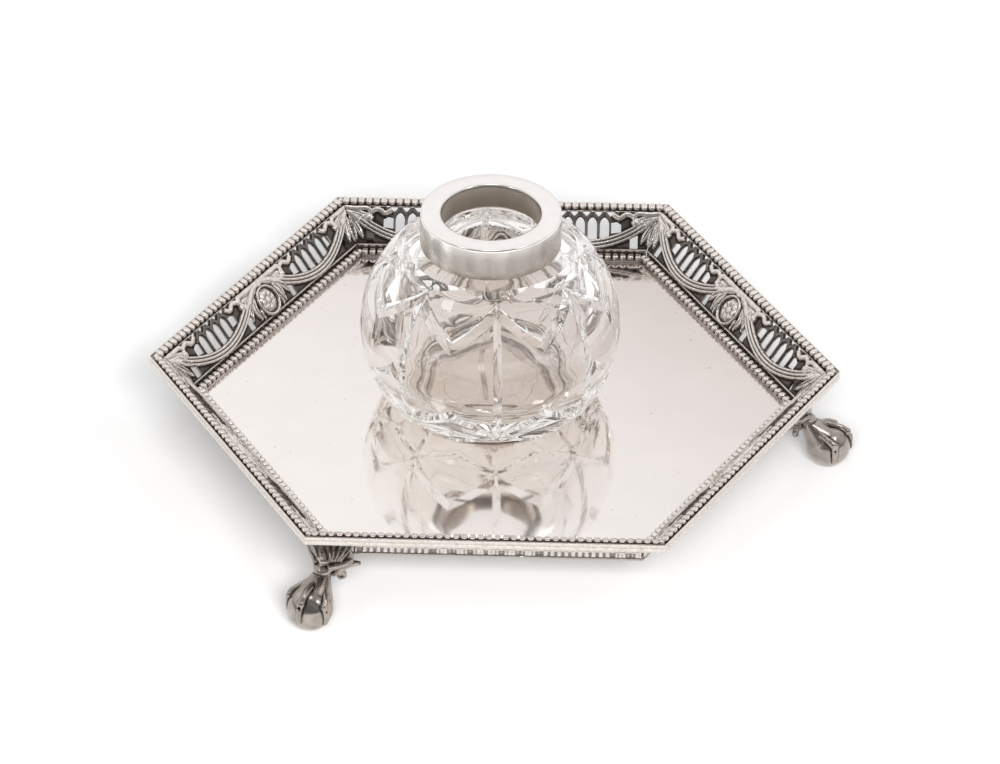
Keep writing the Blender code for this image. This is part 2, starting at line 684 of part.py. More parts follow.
def make_foot(material, parent):
    """One cast foot: leg, ball and claws joined into a single body."""
    base = add_object("foot_core", finish_mesh("foot_core", make_leg(), material), parent)
    additions = [make_ball()] + [make_toe(angle) for angle in TOE_ANGLES]
    for number, shape in enumerate(additions):
        guide = add_object(f"foot_guide_{number}", finish_mesh("foot_guide", shape, material), parent)
        guide.hide_render = True
        guide.display_type = "WIRE"
        join = base.modifiers.new(f"join_{number}", "BOOLEAN")
        join.operation = "UNION"
        join.solver = "EXACT"
        join.object = guide
    bpy.context.view_layer.update()
    graph = bpy.context.evaluated_depsgraph_get()
    mesh = bpy.data.meshes.new_from_object(base.evaluated_get(graph))
    for leftover in [base] + [join.object for join in base.modifiers]:
        bpy.data.objects.remove(leftover, do_unlink=True)
    mesh.name = "foot"
    mesh.shade_smooth()
    mesh.set_sharp_from_angle(angle=SMOOTH_LIMIT)
    return mesh


# Bottle
# Heights here are measured from the bottle's own foot.

def body_radius(height):
    """The uncut body's radius, an ellipse with its widest place at the equator."""
    half = BODY_UPPER_HALF_HEIGHT if height > BODY_EQUATOR_HEIGHT else BODY_LOWER_HALF_HEIGHT
    return BODY_RADIUS * math.sqrt(max(0, 1 - ((height - BODY_EQUATOR_HEIGHT) / half) ** 2))


def cut_rows():
    """Rows up the body: height at a mitre cut, height between two cuts, and whether it is a valley."""
    lower_edge = (LOWER_CROSSING_HEIGHT + CUT_EDGE_RISE, LOWER_PEAK_HEIGHT + CUT_EDGE_RISE)
    upper_edge = (UPPER_CROSSING_HEIGHT - CUT_EDGE_RISE, UPPER_POINT_HEIGHT - CUT_EDGE_RISE)
    rows = [
        (LOWER_CROSSING_HEIGHT, LOWER_POINT_HEIGHT, True),
        (LOWER_CROSSING_HEIGHT, (LOWER_POINT_HEIGHT + LOWER_PEAK_HEIGHT) / 2, False),
        (LOWER_CROSSING_HEIGHT, LOWER_PEAK_HEIGHT, True),
        (*lower_edge, False),
    ]
    for row in range(1, PANEL_ROWS):
        share = row / PANEL_ROWS
        rows.append((lower_edge[0] + (upper_edge[0] - lower_edge[0]) * share,
                     lower_edge[1] + (upper_edge[1] - lower_edge[1]) * share, False))
    rows += [
        (*upper_edge, False),
        (UPPER_CROSSING_HEIGHT, UPPER_POINT_HEIGHT, True),
        (UPPER_CROSSING_HEIGHT, (UPPER_POINT_HEIGHT + UPPER_PEAK_HEIGHT) / 2, False),
        (UPPER_CROSSING_HEIGHT, UPPER_PEAK_HEIGHT, True),
    ]
    return rows


def bottle_columns():
    """Columns round the body: turn in radians, and how far from a cut towards mid-panel."""
    half_panel = math.pi / CUT_COUNT
    leaving = [(share, share) for share in PANEL_COLUMN_SHARES]
    nearing = [(2 - share, share) for share in reversed(PANEL_COLUMN_SHARES[1:])]
    columns = []
    for cut in range(CUT_COUNT):
        for along, share in [*leaving, (1.0, 1.0), *nearing]:
            turn = half_panel * (2 * cut + along)
            columns.append((turn + FIRST_CUT_TURN, share))
    return columns


def on_bottle(turn, radius, height):
    """A point of the bottle, from its turn, its radius and its height above the bottle's foot."""
    return Vector((radius * math.cos(turn), radius * math.sin(turn), BOTTLE_BASE + height))


def ring_at(shape, columns, radius, height):
    """A level ring of vertices, one in each column."""
    return [shape.verts.new(on_bottle(turn, radius, height)) for turn, _ in columns]


def make_bottle(material):
    """The cut-glass bottle: mitre-cut body, plain neck, and the well for the ink."""
    shape = bmesh.new()
    columns = bottle_columns()
    rings = [ring_at(shape, columns, BOTTLE_FOOT_RADIUS, 0)]
    for at_cut, at_panel, valley in cut_rows():
        ring = []
        for turn, share in columns:
            height = at_cut + (at_panel - at_cut) * share
            radius = body_radius(height) - (CUT_DEPTH if valley or share == 0 else 0)
            ring.append(shape.verts.new(on_bottle(turn, radius, height)))
        rings.append(ring)
    shoulder = (body_radius(SHOULDER_HEIGHT) + NECK_RADIUS) / 2
    rings.append(ring_at(shape, columns, shoulder, SHOULDER_HEIGHT))
    rings.append(ring_at(shape, columns, NECK_RADIUS, NECK_BASE_HEIGHT))
    rings.append(ring_at(shape, columns, NECK_RADIUS, NECK_TOP))
    for before, after in zip(rings, rings[1:]):
        bridge(shape, before, after)

    well_columns = columns[::2]
    well = [ring_at(shape, well_columns, BORE_RADIUS, NECK_TOP)]
    for radius, height in well_profile():
        well.append(ring_at(shape, well_columns, radius, height))
    for before, after in zip(well, well[1:]):
        bridge(shape, before, after)
    outer = rings[-1]
    for first in range(len(well_columns)):
        second = (first + 1) % len(well_columns)
        ahead = outer[(2 * first + 2) % len(outer)]
        shape.faces.new((outer[2 * first], outer[2 * first + 1], well[0][first]))
        shape.faces.new((outer[2 * first + 1], ahead, well[0][first]))
        shape.faces.new((well[0][first], ahead, well[0][second]))
    shape.faces.new(rings[0])
    shape.faces.new(well[-1])
    return finish_mesh("glass_bottle", shape, material, merge=MERGE_DISTANCE)


def well_profile():
    """The well below its bore, from the shoulder down to its floor."""
    profile = [(BORE_RADIUS, NECK_BASE_HEIGHT - GLASS_WALL_THICKNESS / 2)]
    high = NECK_BASE_HEIGHT - GLASS_WALL_THICKNESS
    for row in range(WELL_ROWS):
        height = high + (GLASS_FLOOR_THICKNESS - high) * (row / WELL_ROWS)
        profile.append((max(BORE_RADIUS, body_radius(height) - GLASS_WALL_THICKNESS), height))
    profile.append((WELL_FLOOR_RADIUS, GLASS_FLOOR_THICKNESS))
    return profile


def lathe(section, segments):
    """A closed ring turned from a closed (radius, height) section."""
    shape = bmesh.new()
    rings = []
    for segment in range(segments):
        turn = math.tau * segment / segments
        rings.append([shape.verts.new(on_bottle(turn, radius, height)) for radius, height in section])
    for segment in range(segments):
        bridge(shape, rings[segment], rings[(segment + 1) % segments])
    return shape


def make_collar(material):
    """The silver collar: a channel that caps the glass neck and lines its mouth."""
    inner_wall = COLLAR_RADIUS - COLLAR_WALL
    underside = COLLAR_TOP - COLLAR_TOP_THICKNESS
    sleeve_end = COLLAR_TOP - COLLAR_SLEEVE_LENGTH
    sleeve_outer = COLLAR_OPENING_RADIUS + COLLAR_SLEEVE_WALL
    section = [
        (COLLAR_RADIUS, COLLAR_BASE_HEIGHT),
        (COLLAR_RADIUS, COLLAR_TOP - COLLAR_EDGE_BREAK),
        (COLLAR_RADIUS - COLLAR_EDGE_BREAK, COLLAR_TOP),
        (COLLAR_OPENING_RADIUS, COLLAR_TOP),
        (COLLAR_OPENING_RADIUS, sleeve_end),
        (sleeve_outer, sleeve_end),
        (sleeve_outer, underside),
        (inner_wall, underside),
        (inner_wall, COLLAR_BASE_HEIGHT),
    ]
    return finish_mesh("collar", lathe(section, COLLAR_SEGMENTS), material)


def make_plaster_ring(material):
    """The plaster bed between the glass neck and the collar's top."""
    section = [
        (BORE_RADIUS, PLASTER_BASE),
        (NECK_RADIUS, PLASTER_BASE),
        (NECK_RADIUS, PLASTER_TOP),
        (BORE_RADIUS, PLASTER_TOP),
    ]
    return finish_mesh("plaster_ring", lathe(section, COLLAR_SEGMENTS), material)


# Assembly

def centre_the_plan(stand, pieces):
    """Move the stand so that the middle of its plan lies on the origin."""
    bpy.context.view_layer.update()
    corners = [piece.matrix_world @ vertex.co for piece in pieces for vertex in piece.data.vertices]
    for axis in (0, 1):
        values = [corner[axis] for corner in corners]
        stand.location[axis] = -(min(values) + max(values)) / 2


def main():
    clear_scene()
    stand = add_empty("inkstand")
    bottle = add_empty("ink_bottle", stand)
    bottle.location.xy = BOTTLE_PLACE

    pieces = [add_object("tray_floor", make_tray_floor(add_material("floor_silver")), stand)]
    panel = make_gallery_panel(add_material("gallery_silver"))
    moulding = make_rim_moulding(add_material("rim_silver"))
    upper = make_pearl_wire("upper_beading", UPPER_PEARL_APOTHEM, PEARL_SEAT_HEIGHT,
                            add_material("upper_pearl_silver"))
    lower = make_pearl_wire("lower_beading", LOWER_PEARL_APOTHEM, FLOOR_HEIGHT,
                            add_material("lower_pearl_silver"))
    for side, name in enumerate(SIDE_NAMES):
        turn = CORNER_ANGLE * (side + 0.5)
        for prefix, mesh in (("gallery_panel", panel), ("rim_moulding", moulding),
                             ("upper_beading", upper), ("lower_beading", lower)):
            pieces.append(add_object(f"{prefix}_{name}", mesh, stand, turn))
    foot = make_foot(add_material("foot_silver"), stand)
    for number, name in enumerate(FOOT_NAMES):
        pieces.append(add_object(f"foot_{name}", foot, stand, math.tau * number / len(FOOT_NAMES)))

    pieces.append(add_object("glass_bottle", make_bottle(add_material("cut_glass")), bottle))
    pieces.append(add_object("collar", make_collar(add_material("collar_silver")), bottle))
    pieces.append(add_object("plaster_ring", make_plaster_ring(add_material("plaster")), bottle))
    centre_the_plan(stand, pieces)


main()
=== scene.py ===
"""A desk inkstand: a six-sided silver gallery tray on claw-and-ball feet, with a cut-glass ink bottle."""

import math

import bmesh
import bpy
import numpy as np
from mathutils import Matrix, Vector
from mathutils.geometry import delaunay_2d_cdt


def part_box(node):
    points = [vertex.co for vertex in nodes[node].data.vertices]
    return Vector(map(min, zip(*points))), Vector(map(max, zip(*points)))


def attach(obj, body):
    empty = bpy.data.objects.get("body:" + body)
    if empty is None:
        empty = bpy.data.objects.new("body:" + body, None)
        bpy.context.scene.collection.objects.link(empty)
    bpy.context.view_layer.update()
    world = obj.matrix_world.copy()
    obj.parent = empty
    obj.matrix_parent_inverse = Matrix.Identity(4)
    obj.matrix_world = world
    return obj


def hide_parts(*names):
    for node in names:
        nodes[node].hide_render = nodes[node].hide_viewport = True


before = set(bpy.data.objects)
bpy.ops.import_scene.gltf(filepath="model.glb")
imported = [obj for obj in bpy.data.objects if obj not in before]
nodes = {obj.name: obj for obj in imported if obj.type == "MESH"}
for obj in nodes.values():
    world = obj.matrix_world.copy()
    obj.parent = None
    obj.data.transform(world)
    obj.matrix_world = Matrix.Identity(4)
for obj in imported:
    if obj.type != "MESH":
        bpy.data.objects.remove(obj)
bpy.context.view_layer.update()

# Lengths below are in millimetres; make_mesh turns them into metres.

MM = 0.001
SIDES = 6
HALF_CORNER = math.pi / SIDES
SLOPE = math.tan(HALF_CORNER)
COS_CORNER = math.cos(HALF_CORNER)
EDGE_ALONG = np.array((-math.sin(HALF_CORNER), COS_CORNER))
EDGE_OUT = np.array((COS_CORNER, math.sin(HALF_CORNER)))
SEAT = 20.3  # where the gallery, the lower pearls and the bottle stand, just over the floor plate
SIDE_NAMES = ("right_back", "back", "left_back", "left_front", "front", "right_front")
SIDE_TURNS = [math.radians(30 + 60 * side) for side in range(SIDES)]
FOOT_TURNS = {"foot_right": 0.0, "foot_left_back": 120.0, "foot_left_front": 240.0}


def node_middle(name):
    low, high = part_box(name)
    return (low + high) / 2


TRAY_AXIS = node_middle("tray_floor") * Vector((1, 0, 0))
BOTTLE_AXIS = node_middle("collar") * Vector((1, 1, 0))


# General mesh helpers

def smooth_line(points, steps):
    """A Catmull-Rom line through the points, with steps pieces between neighbours."""
    points = np.asarray(points, float)
    padded = [2 * points[0] - points[1], *points, 2 * points[-1] - points[-2]]
    line = []
    for before, start, end, after in zip(padded, padded[1:], padded[2:], padded[3:]):
        for t in np.arange(steps) / steps:
            line.append(0.5 * (2 * start + (end - before) * t
                               + (2 * before - 5 * start + 4 * end - after) * t ** 2
                               + (3 * start - before - 3 * end + after) * t ** 3))
    return np.array([*line, points[-1]])


def bell(values, middle, width, power=2):
    return np.exp(-((values - middle) / width) ** power)


def even_turns(count):
    return np.arange(count) * math.tau / count


def ring(radius, turns, height, middle=0.0):
    """Points round an upright axis; radius and height are numbers, or have one for each turn."""
    return np.column_stack([middle + radius * np.cos(turns), radius * np.sin(turns), height + 0 * turns])


def loft(rings, ends="capped"):
    """A skin over closed rings of points, with its ends capped, joined to each other or left open."""
    points = np.vstack(rings)
    rows = np.arange(len(points)).reshape(len(rings), -1)
    if ends == "joined":
        rows = np.vstack([rows, rows[:1]])
    beside = np.roll(rows, -1, 1)
    faces = np.stack([rows[:-1], beside[:-1], beside[1:], rows[1:]], 2).reshape(-1, 4).tolist()
    if ends == "capped":
        faces += [rows[0].tolist(), rows[-1, ::-1].tolist()]
    return points, faces


def join_parts(parts):
    """One list of points and one of faces from several."""
    points, faces, start = [], [], 0
    for part_points, part_faces in parts:
        points.append(np.asarray(part_points, float))
        faces += [tuple(start + index for index in face) for face in part_faces]
        start += len(part_points)
    return np.vstack(points), faces


def tube(path, radii, sides):
    """A round closed tube along a smooth path."""
    line = smooth_line(np.column_stack([path, radii]), 5)
    centres, widths = line[:, :3], np.maximum(line[:, 3], 0.02)
    ahead = np.gradient(centres, axis=0)
    ahead /= np.linalg.norm(ahead, axis=1)[:, None]
    side = np.cross(ahead, (0, 0, 1))
    upright = np.linalg.norm(side, axis=1) < 1e-3
    side[upright] = np.cross(ahead[upright], (1.0, 0.01, 0.0))
    side /= np.linalg.norm(side, axis=1)[:, None]
    over = np.cross(side, ahead)
    turns = even_turns(sides)[None, :, None]
    around = np.cos(turns) * side[:, None] + np.sin(turns) * over[:, None]
    return loft(centres[:, None] + widths[:, None, None] * around)


def ball(centre, radius, segments=24, rings=14):
    shape = bmesh.new()
    bmesh.ops.create_uvsphere(shape, u_segments=segments, v_segments=rings, radius=1)
    points = np.array([vertex.co[:] for vertex in shape.verts]) * radius + np.array(centre)
    faces = [[vertex.index for vertex in face.verts] for face in shape.faces]
    shape.free()
    return points, faces


def set_tarnish_and_shade(mesh, values):
    layer = mesh.attributes.new("tarnish_and_shade", "FLOAT", "POINT")
    layer.data.foreach_set("value", np.asarray(values, np.float32))


def make_mesh(name, points, faces, smooth=180.0, merge=0.0, tarnish_and_shade=None):
    """A mesh in metres from points in millimetres, with outward normals."""
    mesh = bpy.data.meshes.new(name)
    mesh.from_pydata((points * MM).tolist(), [], faces)
    if tarnish_and_shade is not None:
        set_tarnish_and_shade(mesh, tarnish_and_shade)
    shape = bmesh.new()
    shape.from_mesh(mesh)
    if merge:
        bmesh.ops.remove_doubles(shape, verts=shape.verts, dist=merge * MM)
    bmesh.ops.recalc_face_normals(shape, faces=shape.faces)
    shape.to_mesh(mesh)
    shape.free()
    mesh.shade_smooth()
    mesh.set_sharp_from_angle(angle=math.radians(smooth))
    mesh.update()
    return mesh


def add_object(name, data):
    made = bpy.data.objects.new(name, data)
    bpy.context.scene.collection.objects.link(made)
    return made


def add_piece(name, mesh, material, body, replaced, axis=TRAY_AXIS, turn=0.0, bake=False):
    """A visible piece, turned about an upright axis, that rides on a body."""
    place = Matrix.Translation(axis) @ Matrix.Rotation(turn, 4, "Z")
    if bake:
        mesh = mesh.copy()
        mesh.transform(place)
        place = Matrix()
    piece = add_object(name, mesh)
    piece.matrix_world = place
    if not mesh.materials:
        mesh.materials.append(material)
    bpy.context.view_layer.update()
    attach(piece, body)
    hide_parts(*replaced)


def rows_of(data, name, width=3, kind=float):
    """A property of all vertices or edges, with one row for each."""
    values = np.empty(len(data) * width, kind)
    data.foreach_get(name, values)
    return values.reshape(-1, width)


def hollow_shares(mesh, passes, depth):
    """How deep each vertex lies in a hollow, up to 1, by smoothing the mesh and looking back."""
    places = rows_of(mesh.vertices, "co") / MM
    edges = rows_of(mesh.edges, "vertices", 2, np.int64)
    near, far = np.vstack([edges, edges[:, ::-1]]).T
    eased = places
    for _ in range(passes):
        total = np.column_stack([np.bincount(near, column) for column in eased[far].T])
        eased = 0.5 * eased + 0.5 * total / np.bincount(near)[:, None]
    hollow = ((eased - places) * rows_of(mesh.vertices, "normal")).sum(1)
    return np.clip(hollow / depth, -1, 1)


# Materials

def new_material(name):
    material = bpy.data.materials.new(name)
    material.use_nodes = True
    return material, material.node_tree, material.node_tree.nodes["Principled BSDF"]


def plug(tree, made, *sources, **values):
    """Link or set a node's first inputs, then inputs or settings by name, where _ stands for a blank."""
    pairs = [(made.inputs[place], source) for place, source in enumerate(sources) if source is not None]
    for key, value in values.items():
        title = key.replace("_", " ")
        if title in made.inputs:
            pairs.append((made.inputs[title], value))
        else:
            setattr(made, key, value)
    for socket, value in pairs:
        if hasattr(value, "is_linked"):
            tree.links.new(value, socket)
        else:
            socket.default_value = (*value, 1) if socket.type == "RGBA" else value
    return made


def node(tree, kind, *sources, **values):
    return plug(tree, tree.nodes.new(kind), *sources, **values)


def maths(tree, operation, *sources):
    return node(tree, "ShaderNodeMath", *sources, operation=operation).outputs[0]


def place_of(tree, kind="Object"):
    """The shaded point's coordinates, and its X, Y and Z."""
    place = node(tree, "ShaderNodeTexCoord").outputs[kind]
    return place, node(tree, "ShaderNodeSeparateXYZ", place).outputs


def length_of(tree, vector):
    return node(tree, "ShaderNodeVectorMath", vector, operation="LENGTH").outputs["Value"]


def share_of(tree, source, low, high):
    """How far the source has come from low to high."""
    return node(tree, "ShaderNodeMapRange", source, low, high).outputs["Result"]


def noise(tree, scale, detail, stretch=(1, 1, 1)):
    """Noise over the object's own coordinates, in features of 1/scale metres."""
    place = node(tree, "ShaderNodeMapping", place_of(tree)[0], Scale=stretch).outputs["Vector"]
    return node(tree, "ShaderNodeTexNoise", place, Scale=scale, Detail=detail).outputs["Fac"]


def ramp(tree, source, *stops):
    """A colour ramp from (place, colour or grey) stops."""
    made = node(tree, "ShaderNodeValToRGB", source)
    while len(made.color_ramp.elements) < len(stops):
        made.color_ramp.elements.new(0.5)
    for element, (place, colour) in zip(made.color_ramp.elements, stops):
        element.position = place
        element.color = (*colour, 1) if isinstance(colour, tuple) else (colour, colour, colour, 1)
    return made.outputs["Color"]


def mixed(tree, share, first, second, blend="MIX"):
    """Two colours mixed by a share; the Mix node keeps its colours in inputs 6 and 7."""
    return node(tree, "ShaderNodeMix", share, *[None] * 5, first, second,
                data_type="RGBA", blend_type=blend).outputs[2]


def product(tree, colour, *others):
    for other in others:
        colour = mixed(tree, 1.0, colour, other, "MULTIPLY")
    return colour


def bumps(tree, strength, height):
    return node(tree, "ShaderNodeBump", Strength=strength, Distance=0.0002, Height=height).outputs["Normal"]


def silver(name, bright, dark, roughness, mottle, tone_stops=((0.0, 0.0), (1.0, 1.0)),
           scale=900.0, bump=0.04, spread=0.10):
    """Silver darkened where its per-point attribute says, partly oxide in hollows and partly painted shade,
    with fine mottling and a soft surface.
    """
    material, tree, shader = new_material(name)
    tarnish_and_shade = node(tree, "ShaderNodeAttribute", attribute_name="tarnish_and_shade").outputs["Fac"]
    share = ramp(tree, tarnish_and_shade, *tone_stops)
    grain = noise(tree, scale, 4.0)
    patches = ramp(tree, grain, (0.30, 1.0 - mottle), (0.72, 1.0))
    rough = ramp(tree, grain, (0.25, roughness + spread), (0.8, roughness - spread / 2))
    plug(tree, shader, Base_Color=product(tree, mixed(tree, share, bright, dark), patches),
         Roughness=mixed(tree, share, rough, (roughness + 0.25,) * 3),
         Normal=bumps(tree, bump, noise(tree, 1600.0, 2.0)), Metallic=1.0)
    return material


# The dark of oxide in the gallery's hollows, and of painted shade round the pearls.
OXIDE_AND_SHADE = (0.055, 0.040, 0.034)

gallery_silver = silver("gallery_silver", (0.95, 0.89, 0.84), OXIDE_AND_SHADE, 0.20, 0.30)
rim_silver = silver("rim_silver", (0.78, 0.72, 0.665), (0.16, 0.13, 0.11), 0.22, 0.18)
pearl_silver = silver("pearl_silver", (0.93, 0.865, 0.82), OXIDE_AND_SHADE, 0.24, 0.18,
                      tone_stops=((0.10, 0.0), (0.70, 1.0)))
foot_silver = silver("foot_silver", (0.51, 0.455, 0.415), (0.030, 0.024, 0.020), 0.17, 0.40,
                     scale=300.0, spread=0.06)
collar_silver = silver("collar_silver", (0.955, 0.925, 0.905), (0.30, 0.25, 0.19), 0.13, 0.03,
                       scale=300.0, bump=0.02, spread=0.05)


def mirror_silver():
    """The tray floor: polished, darker towards the right and back, with faint specks and painted shade on its
    rounded edge.
    """
    material, tree, shader = new_material("floor_silver")
    place = place_of(tree)[1]
    # Darker and warmer towards the right and back.
    slant = share_of(tree, maths(tree, "MULTIPLY_ADD", place["Y"], 1.35, place["X"]), -0.10, 0.13)
    right_back_tone = ramp(tree, slant, (0.0, (0.955, 0.910, 0.885)), (0.5, (0.865, 0.815, 0.790)),
                (1.0, (0.700, 0.635, 0.605)))
    specks = ramp(tree, noise(tree, 620.0, 2.0), (0.22, 0.70), (0.27, 1.0))
    cloud = ramp(tree, noise(tree, 55.0, 4.0), (0.30, 0.965), (0.70, 1.0))
    # Painted shade: where the surface turns sideways, on the plate's rounded edge, it is darkened.
    normal = node(tree, "ShaderNodeNewGeometry").outputs["Normal"]
    edge = ramp(tree, node(tree, "ShaderNodeSeparateXYZ", normal).outputs["Z"], (0.2, 1.0), (0.6, 0.0))
    plug(tree, shader, Base_Color=mixed(tree, edge, product(tree, right_back_tone, specks, cloud), (0.46, 0.43, 0.40)),
         Roughness=ramp(tree, noise(tree, 90.0, 5.0, (1, 3, 1)), (0.30, 0.045), (0.75, 0.085)),
         Normal=bumps(tree, 0.010, noise(tree, 90.0, 2.0)), Metallic=1.0)
    return material


def cut_glass():
    """Clear lead glass with a faint tint in its depth and a painted contact shadow, a dark line round its
    foot.
    """
    material, tree, shader = new_material("cut_glass")
    place, parts = place_of(tree)
    height = share_of(tree, parts["Z"], SEAT * MM, (SEAT + SHOULDER) * MM)
    depth = ramp(tree, height, (0.0, (0.93, 0.90, 0.86)), (0.5, (0.955, 0.935, 0.915)),
                 (0.8, (1.0, 1.0, 1.0)))
    tint = ramp(tree, noise(tree, 60.0, 1.0), (0.35, (0.965, 0.965, 0.98)), (0.65, (0.98, 0.965, 0.945)))
    flat = node(tree, "ShaderNodeVectorMath", place, (1, 1, 0), operation="MULTIPLY").outputs[0]
    # Painted shadow: a near-black line round the outer edge of the foot, where it stands on the tray.
    contact_shadow = product(tree, ramp(tree, height, (0.006, 1.0), (0.012, 0.0)),
                   share_of(tree, length_of(tree, flat), (BASE_RADIUS - 0.3) * MM, BASE_RADIUS * MM))
    plug(tree, shader, Base_Color=mixed(tree, contact_shadow, product(tree, tint, depth), (0.04, 0.03, 0.025)),
         Roughness=ramp(tree, noise(tree, 240.0, 2.0), (0.40, 0.0), (0.75, 0.035)),
         Transmission_Weight=1.0, IOR=1.54)
    return material


def plaster():
    """The coarse plaster that beds the collar."""
    material, tree, shader = new_material("plaster")
    grain = noise(tree, 1500.0, 4.0)
    plug(tree, shader, Base_Color=ramp(tree, grain, (0.3, (0.66, 0.62, 0.58)), (0.7, (0.84, 0.80, 0.77))),
         Roughness=0.92, Normal=bumps(tree, 0.5, grain))
    return material


def dress(name, material):
    """Give a carried-over node its material."""
    slots = nodes[name].data.materials
    if not slots:
        slots.append(material)
    for index in range(len(slots)):
        slots[index] = material


# The pierced gallery
# Its pattern is drawn flat, in millimetres: s along a side from its middle, y up the band from its foot.
# The band leans: its foot and its directions are (out, up), and its face looks in over the tray.

BAND_FOOT = np.array((76.95, 22.55))
BAND_UP = np.array((0.6515, 0.7587))
BAND_OUT = np.array((0.7587, -0.6515))
BAND_HEIGHT = 12.287
BAY = 25.77  # the middle of a swag and of its four pointed lights
BAR_PITCH = 3.71
LIGHT_HALF = 1.42
SWAG_LOW, SWAG_RISE, SWAG_HALF = 1.782, 5.099, 15.995  # lowest point, rise to its ends, half its span
CELL = 0.1
RASTER_LOW, RASTER_HIGH = (-1.0, -0.3), (50.0, 12.7)
PANEL_STEP = 0.25
LIGHT_STEP = 0.30
MITRE_GAP = 0.16


def swag_height(s):
    return SWAG_LOW + SWAG_RISE * ((abs(s) - BAY) / SWAG_HALF) ** 2


def swag_slope(s):
    return 2 * SWAG_RISE * (abs(s) - BAY) / SWAG_HALF ** 2


def swag_reach(s):
    """Half the swag's width and its bare margin, measured straight up."""
    return 1.302 * math.hypot(1, swag_slope(s)) + 0.246


def lights():
    """The openings of half a side: pointed lights, spandrels, side lights and foot lights."""
    loops = []
    arch = [(1.0, 8.23), (0.86, 9.0), (0.62, 9.62), (0.34, 10.02), (0.0, 10.26)]
    arch += [(-share, y) for share, y in reversed(arch[:-1])]
    for gap in range(4):
        centre = BAY + (gap - 1.5) * BAR_PITCH
        sill = [centre + LIGHT_HALF * share for share in (-1, -0.5, 0, 0.5, 1)]
        loops.append([(s, swag_height(s) + swag_reach(s)) for s in sill]
                     + [(centre + LIGHT_HALF * share, y) for share, y in arch])
    for bar in range(5):
        centre = BAY + (bar - 2) * BAR_PITCH
        loops.append([(centre + across, y) for across, y in
                      ((0, 10.45), (0.75, 11.2), (1.25, 11.95), (-1.25, 11.95), (-0.75, 11.2))])
    for side in (-1, 1):
        near, far = (BAY + side * away for away in (7.642, 10.663))
        sills = [max(swag_height(s) + swag_reach(s), 5.283) for s in (near, far)]
        loops.append([(near, sills[0]), (far, sills[1]), (far, 8.1), ((near + far) / 2, 8.9), (near, 8.6)])
        near, far = (BAY + side * away for away in (13.418, 15.817))
        tops = [min(swag_height(s) - swag_reach(s), 4.9) for s in (near, far)]
        loops.append([(near, 0.74), (far, 0.74), (far, tops[1]), (near, tops[0])])
    return loops


def finer(loop, step):
    """The closed loop with a point at least every step."""
    made = []
    for start, end in zip(loop, loop[1:] + loop[:1]):
        pieces = max(1, round(math.dist(start, end) / step))
        made += [tuple(start + np.subtract(end, start) * part / pieces) for part in range(pieces)]
    return made


def about_bay(points):
    return [(2 * BAY - s, y) for s, y in points]


# The ornament's lines, as points (s, y)

BOW = [(1.3, 11.0), (3.2, 10.5), (5.2, 9.5), (6.7, 8.3), (8.1, 7.6), (9.6, 7.7), (10.7, 8.8),
       (11.0, 10.1), (10.4, 11.2), (9.0, 11.5), (6.6, 11.3), (3.4, 11.6), (1.3, 11.5)]
LOOP = [(3.6, 11.0), (6.4, 10.0), (9.5, 9.5)]
END = [(2.4, 10.2), (4.3, 9.3), (5.7, 8.5), (7.2, 8.9), (8.8, 7.7), (10.2, 7.4)]
TAIL = [(10.9, 10.0), (12.0, 10.8), (13.3, 11.2), (14.4, 10.7), (15.2, 10.1), (16.3, 10.2), (17.3, 10.9)]
LEAVES = [([(5.2, 7.8), (6.5, 5.4), (6.5, 1.6)], 1.40), ([(6.9, 7.3), (8.6, 5.5), (9.8, 2.9)], 1.25),
          ([(4.9, 4.0), (5.1, 2.4), (5.0, 0.9)], 0.6), ([(47.6, 10.9), (43.6, 9.9), (39.6, 8.7)], 1.10),
          ([(47.2, 10.3), (43.6, 7.7), (41.2, 5.5)], 1.15), ([(47.0, 9.4), (44.3, 5.4), (42.6, 2.2)], 1.15),
          ([(46.9, 8.4), (45.5, 4.6), (44.5, 1.2)], 0.95)]


def strokes():
    """Every stroke of half a side: points, half width, rise, flatness."""
    made = [(BOW, 0.95, 0.85, 3.0), (TAIL, 0.80, 0.70, 2.5), (about_bay(TAIL), 0.80, 0.66, 2.5),
            (END, 0.72, 0.62, 2.5), (about_bay(END[2:]), 0.72, 0.62, 2.5),
            ([(10.6, 8.7), (11.0, 8.4)], 1.15, 0.95, 2.0), ([(40.9, 8.7), (40.6, 8.4)], 1.15, 0.95, 2.0),
            *((leaf, width, 0.74, 1.6) for leaf, width in LEAVES), (about_bay(BOW[1:-1]), 0.80, 0.72, 3.0),
            (LOOP, 0.95, 0.50, 3.0), (about_bay(LOOP), 0.9, 0.50, 3.0)]
    for off, width, rise in ((-1.04, 0.50, 0.78), (0.0, 0.54, 0.98), (1.04, 0.50, 0.78)):
        line = []
        for s in np.linspace(8.2, 43.4, 36):
            slope = swag_slope(s)
            lean = math.hypot(1, slope)
            line.append((s - off * slope / lean, swag_height(s) + off / lean))
        made.append((line, width, rise, 2.2))
    made += [([(-1, 0.08), (50, 0.08)], 0.34, 0.34, 2.5), ([(-1, 12.12), (50, 12.12)], 0.16, 0.22, 2.5),
             ([(0.1, 11.9), (-0.1, 10.5)], 1.35, 0.88, 3.0), ([(1.2, 11.7), (0.9, 10.6)], 0.5, 0.7, 2.0)]
    return made


MEDALLION = (5.05, 4.6, 4.95)  # its middle's height, half its width, half its height
LEAF_TAPER = ((0.0, 0.45), (0.35, 1.0), (0.62, 0.92), (0.85, 0.5), (1.0, 0.12))


def squared_gaps(s, y, start, end):
    """Squared distances from a grid's points to the straight piece from start to end."""
    run = np.subtract(end, start)
    t = np.clip(((s - start[0]) * run[0] + (y - start[1]) * run[1]) / max(run @ run, 1e-9), 0, 1)
    return (s - start[0] - t * run[0]) ** 2 + (y - start[1] - t * run[1]) ** 2


